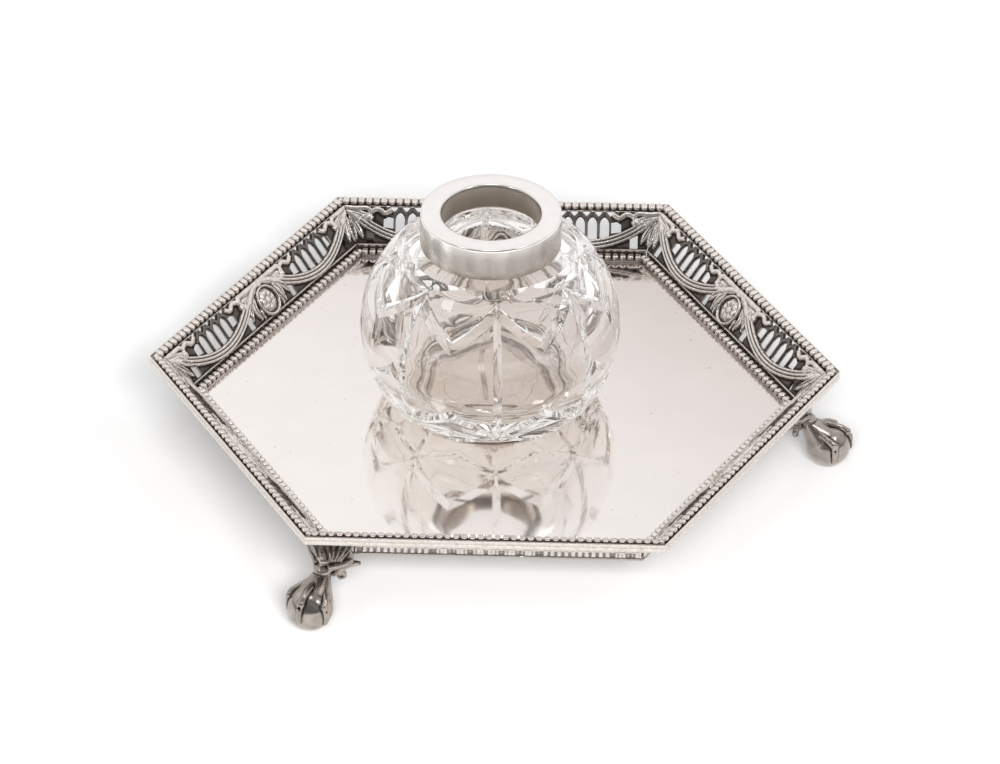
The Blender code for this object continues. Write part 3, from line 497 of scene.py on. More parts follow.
def relief_raster():
    """Heights above the band's face on a grid, and how much of each cell is ornament."""
    across, up = (np.arange(low, high, CELL) for low, high in zip(RASTER_LOW, RASTER_HIGH))
    s, y = np.meshgrid(across, up, indexing="ij")
    height, cover = np.zeros_like(s), np.zeros_like(s)
    for line, width, rise, flat in strokes():
        line = smooth_line(line, 4) if len(line) > 2 else np.asarray(line, float)
        leaf, spans = flat < 2, len(line) - 1
        taper = np.interp((np.arange(spans) + 0.5) / spans, *zip(*LEAF_TAPER)) if leaf else np.ones(spans)
        low, high = line.min(0) - width, line.max(0) + width
        part = tuple(slice(*np.searchsorted(axis, ends)) for axis, ends in zip((across, up), zip(low, high)))
        near = np.min([squared_gaps(s[part], y[part], start, end) / wide ** 2
                       for start, end, wide in zip(line, line[1:], taper)], 0)
        share = np.sqrt(near) / width
        lift = rise * np.maximum(0, 1 - share ** flat) ** (1 / flat)
        if leaf:
            lift *= 1 - 0.55 * bell(share, 0, 0.16)
        height[part] = np.maximum(height[part], lift)
        cover[part] = np.maximum(cover[part], np.clip((1 - share) * 4, 0, 1))
    centre, wide, tall = MEDALLION
    reach = np.hypot(s / wide, (y - centre) / tall)
    petals = np.abs(np.cos(4 * np.arctan2((y - centre) / tall, s / wide))) ** 0.7
    plate = 0.42 + 0.46 * bell(reach, 0.91, 0.075, 4) - 0.40 * bell(reach, 0.78, 0.05)
    plate += 0.30 * petals * np.sin(np.clip((reach - 0.24) / 0.42, 0, 1) * math.pi)
    plate -= 0.30 * bell(reach, 0.68, 0.05) * (0.4 + 0.6 * petals)
    plate += 0.34 * np.sqrt(np.maximum(0, 1 - (reach / 0.22) ** 2))
    inside = reach < 1.0
    height = np.where(inside, np.clip(plate, 0.05, 0.88), height)
    cover = np.where(inside, 1.0 - 0.55 * bell(reach, 0.78, 0.05), cover)
    near = np.min([squared_gaps(s, y, start, end) for loop in lights()
                   for start, end in zip(loop, loop[1:] + loop[:1])], 0)
    edge = np.clip(np.sqrt(near) / 0.40, 0, 1)
    raised = (s > 16.0) & (s < 35.6) & (y > 4.0)
    height = np.maximum(height, 0.26 * np.sqrt(1 - (1 - edge) ** 2) * raised)
    return across, up, height, cover


def blurred(field, cells):
    """The field smoothed by two passes of a box that many cells wide each way."""
    def eased(row):
        return np.convolve(np.pad(row, cells // 2, "edge"), np.ones(cells) / cells, "valid")

    for axis in (0, 1, 0, 1):
        field = np.apply_along_axis(eased, axis, field)
    return field


def inside_loop(points, loop):
    """Which of the points lie inside the closed loop."""
    x, y = points.T
    hits = np.zeros(len(points), bool)
    for (x1, y1), (x2, y2) in zip(loop, loop[1:] + loop[:1]):
        if y1 != y2:
            hits ^= ((y1 > y) != (y2 > y)) & (x < x1 + (y - y1) * (x2 - x1) / (y2 - y1))
    return hits


def half_width_at(y):
    """Half the side's length at a height up the band."""
    return (BAND_FOOT[0] + BAND_UP[0] * y) * SLOPE - MITRE_GAP


def flat_half():
    """Points and triangles of the flat right half of the band, with its lights left open."""
    openings = [finer(loop, LIGHT_STEP) for loop in lights()]
    top = BAND_HEIGHT
    outline = finer([(0.0, 0.0), (half_width_at(0), 0.0), (half_width_at(top), top), (0.0, top)], PANEL_STEP)
    hexes, y, shift = [], PANEL_STEP * 0.6, 1.0
    while y < top - PANEL_STEP * 0.4:
        hexes += [(s, y) for s in
                  np.arange(PANEL_STEP * shift, half_width_at(y) - PANEL_STEP * 0.45, PANEL_STEP)]
        y += PANEL_STEP * 0.866
        shift = 1.5 - shift
    hexes = np.array(hexes)
    keep = np.ones(len(hexes), bool)
    for loop in openings:
        points = np.array(loop)
        boxed = (hexes > points.min(0) - PANEL_STEP) & (hexes < points.max(0) + PANEL_STEP)
        spot = np.where(boxed.all(1))[0]
        gap = np.sqrt(((hexes[spot][:, None] - points[None]) ** 2).sum(2)).min(1)
        keep[spot[inside_loop(hexes[spot], loop) | (gap < LIGHT_STEP * 0.5)]] = False
    points, edges = [], []
    for loop in [outline, *openings]:
        first = len(points)
        points += loop
        edges += [(first + index, first + (index + 1) % len(loop)) for index in range(len(loop))]
    points += hexes[keep].tolist()
    made = delaunay_2d_cdt([Vector(point) for point in points], edges, [], 1, 1e-5, False)
    flat = np.array([point[:] for point in made[0]])
    faces = np.array([face[:] for face in made[2]])
    open_faces = np.any([inside_loop(flat[faces].mean(1), loop) for loop in openings], 0)
    return flat, faces[~open_faces]


def band_points(s, y, rise):
    """Points of a side's frame (out, along, up) for the flat pattern's (s, y), at a rise above its face."""
    out = BAND_FOOT[0] + BAND_UP[0] * y - BAND_OUT[0] * rise
    up = BAND_FOOT[1] + BAND_UP[1] * y - BAND_OUT[1] * rise
    limit = out * SLOPE - MITRE_GAP
    return np.column_stack([out, np.clip(s, -limit, limit), up])


def border_edges(faces):
    """Directed edges that only one face has."""
    seen = dict.fromkeys(edge for face in faces for edge in zip(face, (*face[1:], face[0])))
    return [edge for edge in seen if edge[::-1] not in seen]


def pits(s):
    """Where the back of the casting is sunk along its foot, from 0 to 1."""
    across = np.abs(s)
    arches = 0.5 + 0.5 * np.cos((across - BAY) * math.tau / 1.95)
    loose = 0.55 + 0.45 * np.sin(across * 2.1) * np.sin(across * 3.3 + 1)
    wave = np.where(np.abs(across - BAY) < 10.2, arches, loose)
    return np.clip((wave - 0.42) * 5, 0, 1)


def gallery_mesh():
    """One side: relief face, plainer back, the lights' walls and the upright foot strip."""
    across, up, height, cover = relief_raster()
    tarnish_and_shade = np.clip(0.86 * (1 - cover) + 5.2 * (blurred(height, 9) - height) + 0.03, 0, 1)
    flat, faces = flat_half()
    s, y = flat.T
    count = len(flat)
    places = [np.clip((values - low) / CELL, 0, len(axis) - 2)
              for values, low, axis in zip((s, y), RASTER_LOW, (across, up))]
    (i, j), (u, v) = zip(*((place.astype(int), place % 1) for place in places))

    def looked_up(field):
        near = field[i, j] * (1 - u) + field[i + 1, j] * u
        far = field[i, j + 1] * (1 - u) + field[i + 1, j + 1] * u
        return near * (1 - v) + far * v

    edges = border_edges(faces.tolist())
    on_border = np.isin(np.arange(count), edges)
    on_seam, on_foot = np.abs(s) < 1e-6, y < 1e-6
    lift = looked_up(height)
    lift[on_border & ~on_seam] *= 0.25
    sunk = pits(s) * np.clip((y - 0.3) * 3, 0, 1) * np.clip((3.9 - y) * 3, 0, 1)
    front = band_points(s, y, lift)
    tone = looked_up(tarnish_and_shade)
    rows = [front, band_points(s, y, -0.95 + 0.25 * np.minimum(lift, 0.4) + 0.4 * sunk)]
    tones = [tone, np.clip(0.4 * tone, 0.10, 0.35) + 0.5 * sunk]
    foot = np.where(on_foot)[0]
    foot = foot[np.argsort(s[foot])]
    sink = pits(s[foot])
    narrow = np.clip(sink * 2 - 1, 0, 1)
    for out, level, row_tone in ((76.95, SEAT, 0.45), (77.60, SEAT, 0.15),
                                 (77.60 - 0.34 * sink, 20.75, 0.15 + 0.55 * sink),
                                 (77.62 - 0.34 * narrow, 21.5, 0.15 + 0.55 * narrow)):
        along = np.minimum(front[foot, 1], out * SLOPE - MITRE_GAP)
        rows.append(np.column_stack([out + 0 * sink, along, level + 0 * sink]))
        tones.append(row_tone + 0 * sink)
    walls = [(start, end, end + count, start + count) for start, end in edges
             if not (on_seam[start] and on_seam[end]) and not (on_foot[start] and on_foot[end])]
    faces = [*faces.tolist(), *(faces + count)[:, ::-1].tolist(), *walls]
    strip = np.vstack([foot, 2 * count + np.arange(4 * len(foot)).reshape(4, -1), foot + count])
    for above, below in zip(strip, strip[1:]):
        faces += np.column_stack([above[:-1], above[1:], below[1:], below[:-1]]).tolist()
    faces.append(strip[[0, 5, 4, 3, 2, 1], -1].tolist())
    half = np.vstack(rows)
    points, all_faces = join_parts([(half, faces), (half * (1, -1, 1), [face[::-1] for face in faces])])
    return make_mesh("gallery_panel", points, all_faces, smooth=50.0, merge=0.004,
                     tarnish_and_shade=np.tile(np.concatenate(tones), 2))


panel_mesh = gallery_mesh()
for side_name, side_turn in zip(SIDE_NAMES, SIDE_TURNS):
    add_piece(f"pierced_gallery_{side_name}", panel_mesh, gallery_silver, "tray",
              [f"gallery_panel_{side_name}"], turn=side_turn)


# The rim: one moulding round all six sides, with a rounded lip and an engraved line
# Each row has the distance out to the side, the height and its painted shade: dark on the inner slope, under
# the lip and in the engraved line, lightest on the top.

RIM_SECTION = [
    (85.15, 31.50, 0.9), (87.72, 32.20, 0.2), (87.75, 32.56, 0), (87.84, 32.74, 0), (87.97, 32.80, -0.2),
    (88.10, 32.76, 0), (88.19, 32.62, 0), (88.20, 31.72, 0), (88.13, 31.60, 0.15), (88.12, 31.46, 0.25),
    (88.13, 31.32, 0.15), (88.20, 31.20, 0), (88.20, 30.22, 0), (88.12, 30.05, 0), (87.95, 30.00, 0.6),
    (87.40, 30.02, 0.8), (86.14, 31.25, 0.9),
]
RIM_OUT = 88.2
CORNER_ROUNDING = 0.9
CORNER_STEPS = 6


def rim_mesh():
    rings = []
    out, up, tones = np.array(RIM_SECTION).T
    rounded = np.maximum(0.0, CORNER_ROUNDING - (RIM_OUT - out))
    corner = (out - rounded) / COS_CORNER
    for side in range(SIDES):
        for part in range(CORNER_STEPS + 1):
            middle = math.radians(60 * side)
            turn = middle + (part / CORNER_STEPS - 0.5) * 2 * HALF_CORNER
            rings.append(np.column_stack([corner * math.cos(middle) + rounded * math.cos(turn),
                                          corner * math.sin(middle) + rounded * math.sin(turn), up]))
    return make_mesh("rim_moulding", *loft(rings, "joined"), smooth=40.0, merge=0.002,
                     tarnish_and_shade=np.tile(tones, len(rings)))


add_piece("rim_moulding", rim_mesh(), rim_silver, "tray",
          [f"rim_moulding_{side_name}" for side_name in SIDE_NAMES])


# The two rows of pearls: rounded barrels across a flat wire

PEARL_PITCH = 2.34
PEARL_WIDTH = 2.3
PEARL_SHARES = ((1.0, 0.0), (1.0, 0.42), (0.97, 0.65), (0.89, 0.83), (0.72, 0.95), (0.46, 0.99), (0.2, 1.0))
PEARL_SIDES = 16
PEARL_ROUNDNESS = 2 / 3.2
PEARL_FOOT = 0.3


def pearl_mesh(name, inner, base, height, tilt, drop):
    """A side's row of pearls on its wire, in the side's frame, leaning in by a tilt in height over width."""
    middle, outer = inner + PEARL_WIDTH / 2, inner + PEARL_WIDTH
    reach = middle * SLOPE - 0.55
    count = round(2 * reach / PEARL_PITCH)
    step = 2 * reach / count
    rise = height - PEARL_FOOT
    wire = [(out, side * (out * SLOPE - MITRE_GAP), up) for up in (base - drop, base + 0.25)
            for out, side in ((inner, -1), (inner, 1), (outer, 1), (outer, -1))]
    parts = [(wire, [(0, 1, 2, 3), (4, 5, 6, 7), (0, 1, 5, 4), (1, 2, 6, 5), (2, 3, 7, 6), (3, 0, 4, 7)])]
    # Painted shade: each pearl darkens towards its foot and the wire shows dark between them; on the lower
    # row the side facing the tray floor's mirror is kept paler. Each pearl's tone also varies a little at
    # random.
    tones = ([0.30, 0.30, 0.85, 0.85] if drop else [0.85, 0.85, 0.50, 0.50]) * 2
    pale = 0.28 if drop else 0.0
    turns = even_turns(PEARL_SIDES)
    unit = np.column_stack([np.sign(part) * np.abs(part) ** PEARL_ROUNDNESS
                            for part in (np.cos(turns), np.sin(turns))])
    wobble = np.random.default_rng(7)
    for place in range(count):
        along = -reach + (place + 0.5) * step
        size = 1 + wobble.uniform(-0.03, 0.03, 2)
        lean = wobble.uniform(-0.03, 0.03)
        rings = []
        for share, lift in PEARL_SHARES:
            half = (PEARL_WIDTH / 2 * 0.995 * (0.25 + 0.75 * share), step * 0.425 * share)
            x, y = (unit * half * size).T
            level = base + PEARL_FOOT + rise * lift
            rings.append(np.column_stack([middle + x, along + y + lean * x, level + 0 * x]))
        points, faces = loft(rings, "open")
        parts.append((points, [*faces, range(len(points) - PEARL_SIDES, len(points))]))
        dark = wobble.uniform(-0.05, 0.10)
        tones += [max(0.0, 1.0 - lift * 1.9) * faced + dark for _, lift in PEARL_SHARES
                  for faced in 1 - pale + pale * np.cos(turns)]
    knob, knob_faces = ball((middle, middle * SLOPE, 0), 1.0, segments=16, rings=10)
    knob[:, 2] = base + np.maximum(0, PEARL_FOOT + knob[:, 2] * rise)
    parts.append((knob, knob_faces))
    # Painted shade: the corner knob darkens towards its foot.
    tones += list(1.0 - (knob[:, 2] - base) / height * 2.2)
    points, faces = join_parts(parts)
    points[:, 2] -= np.maximum(outer - points[:, 0], 0) * tilt
    return make_mesh(name, points, faces, smooth=70.0, tarnish_and_shade=np.clip(tones, 0, 1))


for row_name, inner, base, height, tilt, drop in (("upper", 85.15, 32.0, 1.65, 0.30, 0.0),
                                                  ("lower", 74.35, SEAT, 1.7, 0.0, 0.24)):
    row_mesh = pearl_mesh(f"{row_name}_pearls", inner, base, height, tilt, drop)
    for side_name, side_turn in zip(SIDE_NAMES, SIDE_TURNS):
        add_piece(f"{row_name}_pearls_{side_name}", row_mesh, pearl_silver, "tray",
                  [f"{row_name}_beading_{side_name}"], turn=side_turn)


# The feet: claw and ball below a knee that wraps the tray's corner
# Lengths are in the foot's own frame, X out along the corner's line from the tray's axis.

BALL = np.array((99.295, 0.0, 6.4))
BALL_RADIUS = 6.6
ANKLE = np.array((92.9, 0.0, 13.0))
ANKLE_LIFT = np.array((0, 0, 2.2))
KNEE_TOP = 29.65
KNEE_BEND = 24.3
KNEE_SPINE = ((KNEE_BEND - 1.3 / 0.35, 91.7), (KNEE_BEND, 93.0), (KNEE_TOP, 98.25))
TRAY_CORNER = np.array((90.35, 0.0))
FOOT_OUT = 92.57  # how far out the claw may go; the knee and its scrolls stay within RIM_OUT
FOOT_VOXEL = 0.24
TOE_TURNS = (3, 74, -74)
WEB_SIDES = 48


def knee_outline(height, inner, wing, thickness):
    """A chevron round the tray's corner, as points from its inner corner round."""
    start = np.array((inner, 0.0))
    ridge = np.array((inner + thickness / COS_CORNER, 0.0))
    end = start + EDGE_ALONG * wing
    corners = [start, end, end + EDGE_OUT * thickness, ridge + EDGE_ALONG * wing / 2]
    corners = corners + [ridge] + [corner * (1, -1) for corner in reversed(corners[1:])]
    line = [first + (second - first) * part / 4
            for first, second in zip(corners, corners[1:] + corners[:1]) for part in range(4)]
    return np.column_stack([line, np.full(len(line), height)])


def leg_part():
    """The knee, its scooped sides, the waist and the ankle, as one loft."""
    knees = ((KNEE_TOP, 98.25, 8.0, 2.0), (KNEE_BEND, 93.0, 8.0, 1.7), (20.6, 91.7, 8.3, 1.6),
             (18.9, 91.7, 8.2, 2.0), (17.6, 91.3, 6.2, 2.4))
    shins = ((16.0, 92.4, 2.9), (14.4, 92.6, 2.3), (12.6, 93.3, 2.4), (10.6, 95.0, 3.0))
    turns = math.pi - even_turns(32)
    stack = np.array([*(knee_outline(*knee) for knee in knees),
                      *(ring(radius, turns, height, out) for height, out, radius in shins)])
    return loft(smooth_line(stack.reshape(len(stack), -1), 5).reshape(-1, *stack.shape[1:]))


def on_ball(azimuth, polar, lift):
    """A point at a height above the ball's surface, polar degrees down from its top."""
    turn, lean = math.radians(azimuth), math.radians(polar)
    way = np.array((math.cos(turn) * math.sin(lean), math.sin(turn) * math.sin(lean), math.cos(lean)))
    return BALL + way * (BALL_RADIUS + lift)


def off_ball(points, lift):
    """The points, with those too near the ball pushed out to a height above its surface."""
    away = points - BALL
    return BALL + away * np.maximum(1.0, (BALL_RADIUS + lift) / np.linalg.norm(away, axis=-1))[..., None]


def toe_parts(azimuth):
    """One toe: a tendon stretched from the ankle to its knuckle, and a talon down the ball."""
    turn = math.radians(azimuth)
    knuckle = 50 if abs(azimuth) < 20 else 62
    start = ANKLE + np.array((math.cos(turn), math.sin(turn), 0)) * 1.5 + (0, 0, 1.4)
    end = on_ball(azimuth, knuckle, 0.45)
    tendon = [start, *(off_ball(start + (end - start) * share, 0.45) for share in (0.3, 0.55, 0.8)), end]
    talon = [on_ball(azimuth, knuckle + down, lift)
             for down, lift in ((8, 0.35), (20, 0.45), (36, 0.40), (50, 0.1), (60, -0.4))]
    return [tube(tendon, [0.75, 0.72, 0.78, 0.95, 1.15], 14), ball(end, 1.25),
            tube(talon, [1.0, 0.95, 0.75, 0.5, 0.25], 12)]


def web_part():
    """The skin between ankle and ball, lowest at the toes."""
    turns = even_turns(WEB_SIDES)
    top = ring(2.3, turns, (ANKLE + ANKLE_LIFT)[2], ANKLE[0])
    azimuths = (np.degrees(turns) + 180) % 360 - 180
    polars = np.interp(abs(azimuths), (0, 3, 36, 74, 108, 140, 180), (52, 52, 34, 62, 52, 100, 118))
    low = np.array([on_ball(azimuth, polar, 0.12) for azimuth, polar in zip(azimuths, polars)])
    rings = [top, *(off_ball(top + (low - top) * share, 0.12) for share in np.linspace(0.12, 1.0, 9))]
    points, faces = loft(rings, "open")
    tip, last = len(points), len(points) - WEB_SIDES
    for index in range(WEB_SIDES):
        beside = (index + 1) % WEB_SIDES
        faces += [(index, beside, tip), (last + beside, last + index, tip + 1)]
    return np.vstack([points, ANKLE + ANKLE_LIFT, BALL]), faces


def side_frame_points(side, places):
    """Points (along the edge from the corner, out from the tray, height) beside the corner."""
    return [(*(TRAY_CORNER + EDGE_ALONG * run + EDGE_OUT * off) * (1, side), up) for run, off, up in places]


def bracket_parts(side):
    """The C-scroll that springs from the leg and runs under the edge of the tray."""
    strands = (([(1.4, 1.0, 13.4), (2.6, 1.2, 14.2), (3.9, 1.3, 15.6), (5.4, 1.2, 16.8), (7.4, 1.0, 17.3),
                 (9.6, 0.8, 17.3)], [0.9, 1.05, 1.2, 1.15, 1.0, 0.6], 12),
               ([(3.4, 1.3, 14.9), (4.7, 1.3, 14.0), (4.9, 1.3, 12.9), (3.9, 1.3, 12.3), (3.1, 1.3, 12.9)],
                [0.9, 0.85, 0.7, 0.6, 0.45], 12),
               ([(2.2, 2.0, 14.8), (3.8, 2.2, 16.2), (5.6, 2.0, 17.4), (8.6, 1.5, 17.9)],
                [0.3, 0.42, 0.4, 0.25], 8))
    return [tube(side_frame_points(side, places), radii, sides) for places, radii, sides in strands]


def leaf_parts(side):
    """Ribs of the leaf that is cast on one wing of the knee, and the bright lip below it."""
    parts = []
    for run_top, run_low in ((0.5, 0.9), (2.3, 1.5), (4.2, 2.2), (6.0, 3.0), (7.6, 3.9)):
        rib = []
        for share in (0.0, 0.3, 0.6, 0.85, 1.0):
            height = 28.9 - share * 9.6
            spine = np.interp(height, *zip(*KNEE_SPINE))
            off = (spine - TRAY_CORNER[0]) * COS_CORNER + 1.75
            rib.append((run_top + (run_low - run_top) * share ** 1.6, off, height))
        parts.append(tube(side_frame_points(side, rib), [0.35, 0.5, 0.5, 0.42, 0.3], 8))
    lip = side_frame_points(side, [(0.3, 3.7, 17.6), (2.6, 3.2, 17.9), (5.2, 2.9, 18.6), (7.6, 2.6, 20.2)])
    return [*parts, tube(lip, [0.7, 0.75, 0.65, 0.4], 10)]


def remeshed(name, parts):
    """The parts joined into one skin."""
    source = add_object(name, make_mesh(name, *join_parts(parts)))
    skin = source.modifiers.new("skin", "REMESH")
    skin.mode = "VOXEL"
    skin.voxel_size = FOOT_VOXEL * MM
    ease = source.modifiers.new("ease", "SMOOTH")
    ease.factor = 0.5
    ease.iterations = 2
    bpy.context.view_layer.update()
    graph = bpy.context.evaluated_depsgraph_get()
    mesh = bpy.data.meshes.new_from_object(source.evaluated_get(graph))
    bpy.data.objects.remove(source, do_unlink=True)
    mesh.name = name
    mesh.shade_smooth()
    return mesh


def foot_mesh():
    """One foot, held inside its own solid's reach."""
    parts = [leg_part(), ball(BALL, BALL_RADIUS, segments=40, rings=24)]
    for azimuth in TOE_TURNS:
        parts += toe_parts(azimuth)
    parts.append(web_part())
    for side in (-1, 1):
        parts += bracket_parts(side) + leaf_parts(side)
    mesh = remeshed("claw_foot", parts)
    places = rows_of(mesh.vertices, "co") / MM
    for azimuth in TOE_TURNS:
        pit = on_ball(azimuth, 60 if abs(azimuth) < 20 else 74, 1.45)
        push = (BALL - pit) / np.linalg.norm(BALL - pit)
        places += push * bell(np.linalg.norm(places - pit, axis=1), 0, 0.5)[:, None]
    away = places - BALL
    reach = np.linalg.norm(away, axis=1)
    polar = np.degrees(np.arccos(np.clip(away[:, 2] / np.maximum(reach, 1e-6), -1, 1)))
    limit = np.interp(polar, (50, 80), (8.4, 7.2))
    held = (places[:, 2] < 12) & (reach > limit) & (places[:, 0] > BALL[0] - 4)
    places[held] = BALL + away[held] * (limit / reach)[held, None]
    farthest = np.where(places[:, 2] > 14, RIM_OUT, FOOT_OUT)
    for side in (-1, 1):
        outward = EDGE_OUT * (1, side)
        over = np.maximum(places[:, :2] @ outward - farthest, 0)
        places[:, :2] -= over[:, None] * outward
    places[:, 2] = np.clip(places[:, 2], 0, KNEE_TOP)
    mesh.vertices.foreach_set("co", (places * MM).ravel())
    mesh.update()
    high = np.clip((places[:, 2] - 19) / 8, 0, 1) * 0.35
    tarnish_and_shade = 0.06 + 1.1 * hollow_shares(mesh, 10, 0.10) + 0.75 * hollow_shares(mesh, 60, 0.45) + high
    set_tarnish_and_shade(mesh, np.clip(tarnish_and_shade, 0, 1))
    return mesh


claw_mesh = foot_mesh()
for foot_name, degrees in FOOT_TURNS.items():
    add_piece(f"claw_{foot_name}", claw_mesh, foot_silver, "tray", [foot_name],
              turn=math.radians(degrees), bake=True)


# The cut-glass bottle
# Heights are measured from the bottle's own foot, columns from its first mitre cut.

CUTS = 8
FIRST_CUT = math.radians(-85)
CUT_SHARE = 0.085  # how far a mitre cut reaches towards the middle of a panel
EQUATOR = 25.0
WIDEST = 38.3
SHOULDER = 53.0
BASE_RADIUS = 25.4
LOWER_HALF = EQUATOR / math.sqrt(1 - (28.6 / WIDEST) ** 2)
UPPER_HALF = (SHOULDER - EQUATOR) / math.sqrt(1 - (24.66 / WIDEST) ** 2)
NECK_RADIUS = 19.65
NECK_TOP = 60.95
WELL = [(61.0, 15.2), (55.5, 15.2), (51.2, 15.9), (48.6, 19.0), (44.5, 23.9), (37.4, 27.5), (30.3, 29.4),
        (23.2, 29.7), (16.1, 28.7), (11.6, 24.5), (9.3, 17.5), (9.0, 9.0), (9.0, 0.4)]


def body_radius(height):
    half = np.where(height > EQUATOR, UPPER_HALF, LOWER_HALF)
    return WIDEST * np.sqrt(np.maximum(0, 1 - ((height - EQUATOR) / half) ** 2))


def bottle_mesh():
    """The outer skin follows the cuts' own lines, so that every edge of the cutting is crisp."""
    shares = [0.0, 0.04, CUT_SHARE, 0.16, 0.24, 0.33, 0.42, 0.52, 0.62, 0.72, 0.82, 0.91]
    steps = [*((s, s) for s in shares), (1.0, 1.0), *((2 - s, s) for s in reversed(shares[1:]))]
    turns, share = np.array([(FIRST_CUT + math.pi / CUTS * (2 * cut + along), s)
                             for cut in range(CUTS) for along, s in steps]).T
    # Each line: its height at a cut and at a panel's middle, its depth, and the rows between it and the last.
    lines = [
        (5.6, 2.2, 0.0, 0), (6.0, 2.5, 1.35, 0), (6.9, 4.6, 0.10, 1), (6.6, 9.5, 0.0, 3),
        (6.9, 14.6, 0.10, 1), (6.4, 16.5, 1.45, 0), (8.6, 18.7, 0.0, 0), (46.6, 36.6, 0.0, 9),
        (49.2, 38.8, 1.55, 0), (49.9, 41.2, 0.10, 1), (50.2, 45.2, 0.0, 3), (49.9, 50.1, 0.08, 1),
        (49.6, 52.1, 1.15, 0), (52.4, 52.6, 0.5, 0),
    ]
    dish = 0.16 * np.sin(np.clip((share - CUT_SHARE) / (1 - CUT_SHARE), 0, 1) * math.pi / 2)
    groove = np.clip(1 - share / CUT_SHARE, 0, 1) * 1.15
    outer = [(0.0, BASE_RADIUS), (0.35, BASE_RADIUS + 0.4)]
    for at_cut, at_panel, depth, between in lines:
        level = at_cut + (at_panel - at_cut) * share
        line = np.array((level, body_radius(level) - depth))
        last = outer[-1]
        for part in range(1, between + 1):
            mix = part / (between + 1)
            height, straight = last + (line - last) * mix
            rounded = body_radius(height) - dish * math.sin(mix * math.pi)
            outer.append((height, rounded if between > 4 else 0.5 * straight + 0.5 * rounded))
        outer.append(line)
    rings = []
    for height, radius in outer:
        cut = np.minimum(radius, body_radius(height) - groove)
        rings.append(ring(np.where((height > 3.0) & (height < 51.0), cut, radius), turns, SEAT + height))
    for height, radius in ((52.75, 23.4), (52.95, 21.2), (SHOULDER, 19.9), (53.3, NECK_RADIUS),
                           (60.4, NECK_RADIUS), (60.85, NECK_RADIUS - 0.15), (NECK_TOP, NECK_RADIUS - 0.5)):
        rings.append(ring(radius, turns, SEAT + height))
    for height, radius in smooth_line(WELL, 4):
        height = min(height, NECK_TOP)
        swell = 0.11 * min(max((54 - height) / 8, 0), 1) * min(radius / 20, 1)
        wavy = radius + swell * (np.sin(3 * turns + height / 4.1) + 0.7 * np.sin(5 * turns - height / 2.3))
        rings.append(ring(wavy, turns, SEAT + height + swell * np.sin(2 * turns + 0.6)))
    return make_mesh("cut_glass_bottle", *loft(rings), smooth=11.0, merge=0.001)


add_piece("cut_glass_bottle", bottle_mesh(), cut_glass(), "bottle", ["glass_bottle"],
          axis=BOTTLE_AXIS)


# The silver collar: a rounded cap over the neck, with a sleeve down its mouth
# Each row has the radius, the height and its painted shade: the side darker than the top and darkest at its
# foot, and the sleeve dark down the mouth.

COLLAR_SECTION = [
    (20.55, 73.66, 0.60), (20.55, 73.95, 0.56), (20.55, 76.5, 0.50), (20.55, 80.0, 0.46), (20.55, 83.0, 0.38),
    (20.53, 83.35, 0.10), (20.42, 83.62, 0.0), (20.22, 83.78, 0.0), (19.95, 83.85, 0.0), (17.5, 83.84, 0.0),
    (15.3, 83.82, 0.0), (14.95, 83.76, 0.05), (14.66, 83.58, 0.2), (14.46, 83.25, 0.5), (14.40, 82.8, 0.75),
    (14.40, 79.0, 0.85), (14.40, 76.2, 0.9), (14.90, 76.15, 0.5), (14.90, 83.05, 0.0), (19.95, 83.05, 0.0),
    (19.95, 73.65, 0.1),
]
COLLAR_SIDES = 144


def collar_mesh():
    turns = even_turns(COLLAR_SIDES)
    # Random darker and lighter streaks down the outer side.
    side_streaks = np.interp(np.arange(COLLAR_SIDES), np.arange(0, COLLAR_SIDES + 1, 3),
                     np.random.default_rng(5).uniform(-1, 1, COLLAR_SIDES // 3 + 1) ** 3)
    tones = [tone + side_streaks * (0.50 if 73.8 < up < 83.1 and out > 20.5 else 0.0)
             for out, up, tone in COLLAR_SECTION]
    rings = [ring(out, turns, up) for out, up, _ in COLLAR_SECTION]
    return make_mesh("collar_cap", *loft(rings, "joined"), smooth=38.0, tarnish_and_shade=np.clip(tones, 0, 1).ravel())


add_piece("collar_cap", collar_mesh(), collar_silver, "bottle", ["collar"], axis=BOTTLE_AXIS)


# The tray floor: a polished plate with a rounded edge and a rolled-under rim

FLOOR_SECTION = [(76.2, 18.8), (77.0, 18.95), (77.5, 19.2), (77.66, 19.55), (77.62, 19.82), (77.45, 19.97),
                 (76.9, 20.0)]
floor_rings = [ring(out / COS_CORNER, even_turns(SIDES), up) for out, up in FLOOR_SECTION]
add_piece("floor_plate", make_mesh("floor_plate", *loft(floor_rings), smooth=40.0), mirror_silver(), "tray",
          ["tray_floor"])
dress("plaster_ring", plaster())


# The studio: a pale floor, soft lamps and the photograph's viewing angle

def seen_by(tree, *rays):
    """1 for these kinds of ray, and 0 for all others."""
    path = node(tree, "ShaderNodeLightPath").outputs
    share = path[f"Is {rays[0]} Ray"]
    for ray in rays[1:]:
        share = maths(tree, "MAXIMUM", share, path[f"Is {ray} Ray"])
    return share


def add_floor():
    """A pale floor, white as seen except where the stand shades it."""
    mesh = bpy.data.meshes.new("studio_floor")
    mesh.from_pydata([(-6, -6, 0), (6, -6, 0), (6, 6, 0), (-6, 6, 0)], [], [(0, 1, 2, 3)])
    material, tree, shader = new_material("studio_floor")
    place, parts = place_of(tree)
    # Painted light: the floor glows more away from the stand and behind it, which pales the stand's shadow
    # there, and less close by, where the shadow stays deep.
    glow = maths(tree, "ADD", ramp(tree, length_of(tree, place), (0.10, 0.10), (0.22, 0.30)),
                 ramp(tree, parts["Y"], (0.01, 0.0), (0.06, 0.16)))
    seen = seen_by(tree, "Camera", "Glossy", "Transmission")
    plug(tree, shader, Base_Color=(0.86, 0.86, 0.86), Roughness=0.9, Specular_IOR_Level=0.0,
         Emission_Color=(1, 1, 1), Emission_Strength=maths(tree, "MULTIPLY", seen, glow))
    mesh.materials.append(material)
    floor = add_object("studio_floor", mesh)


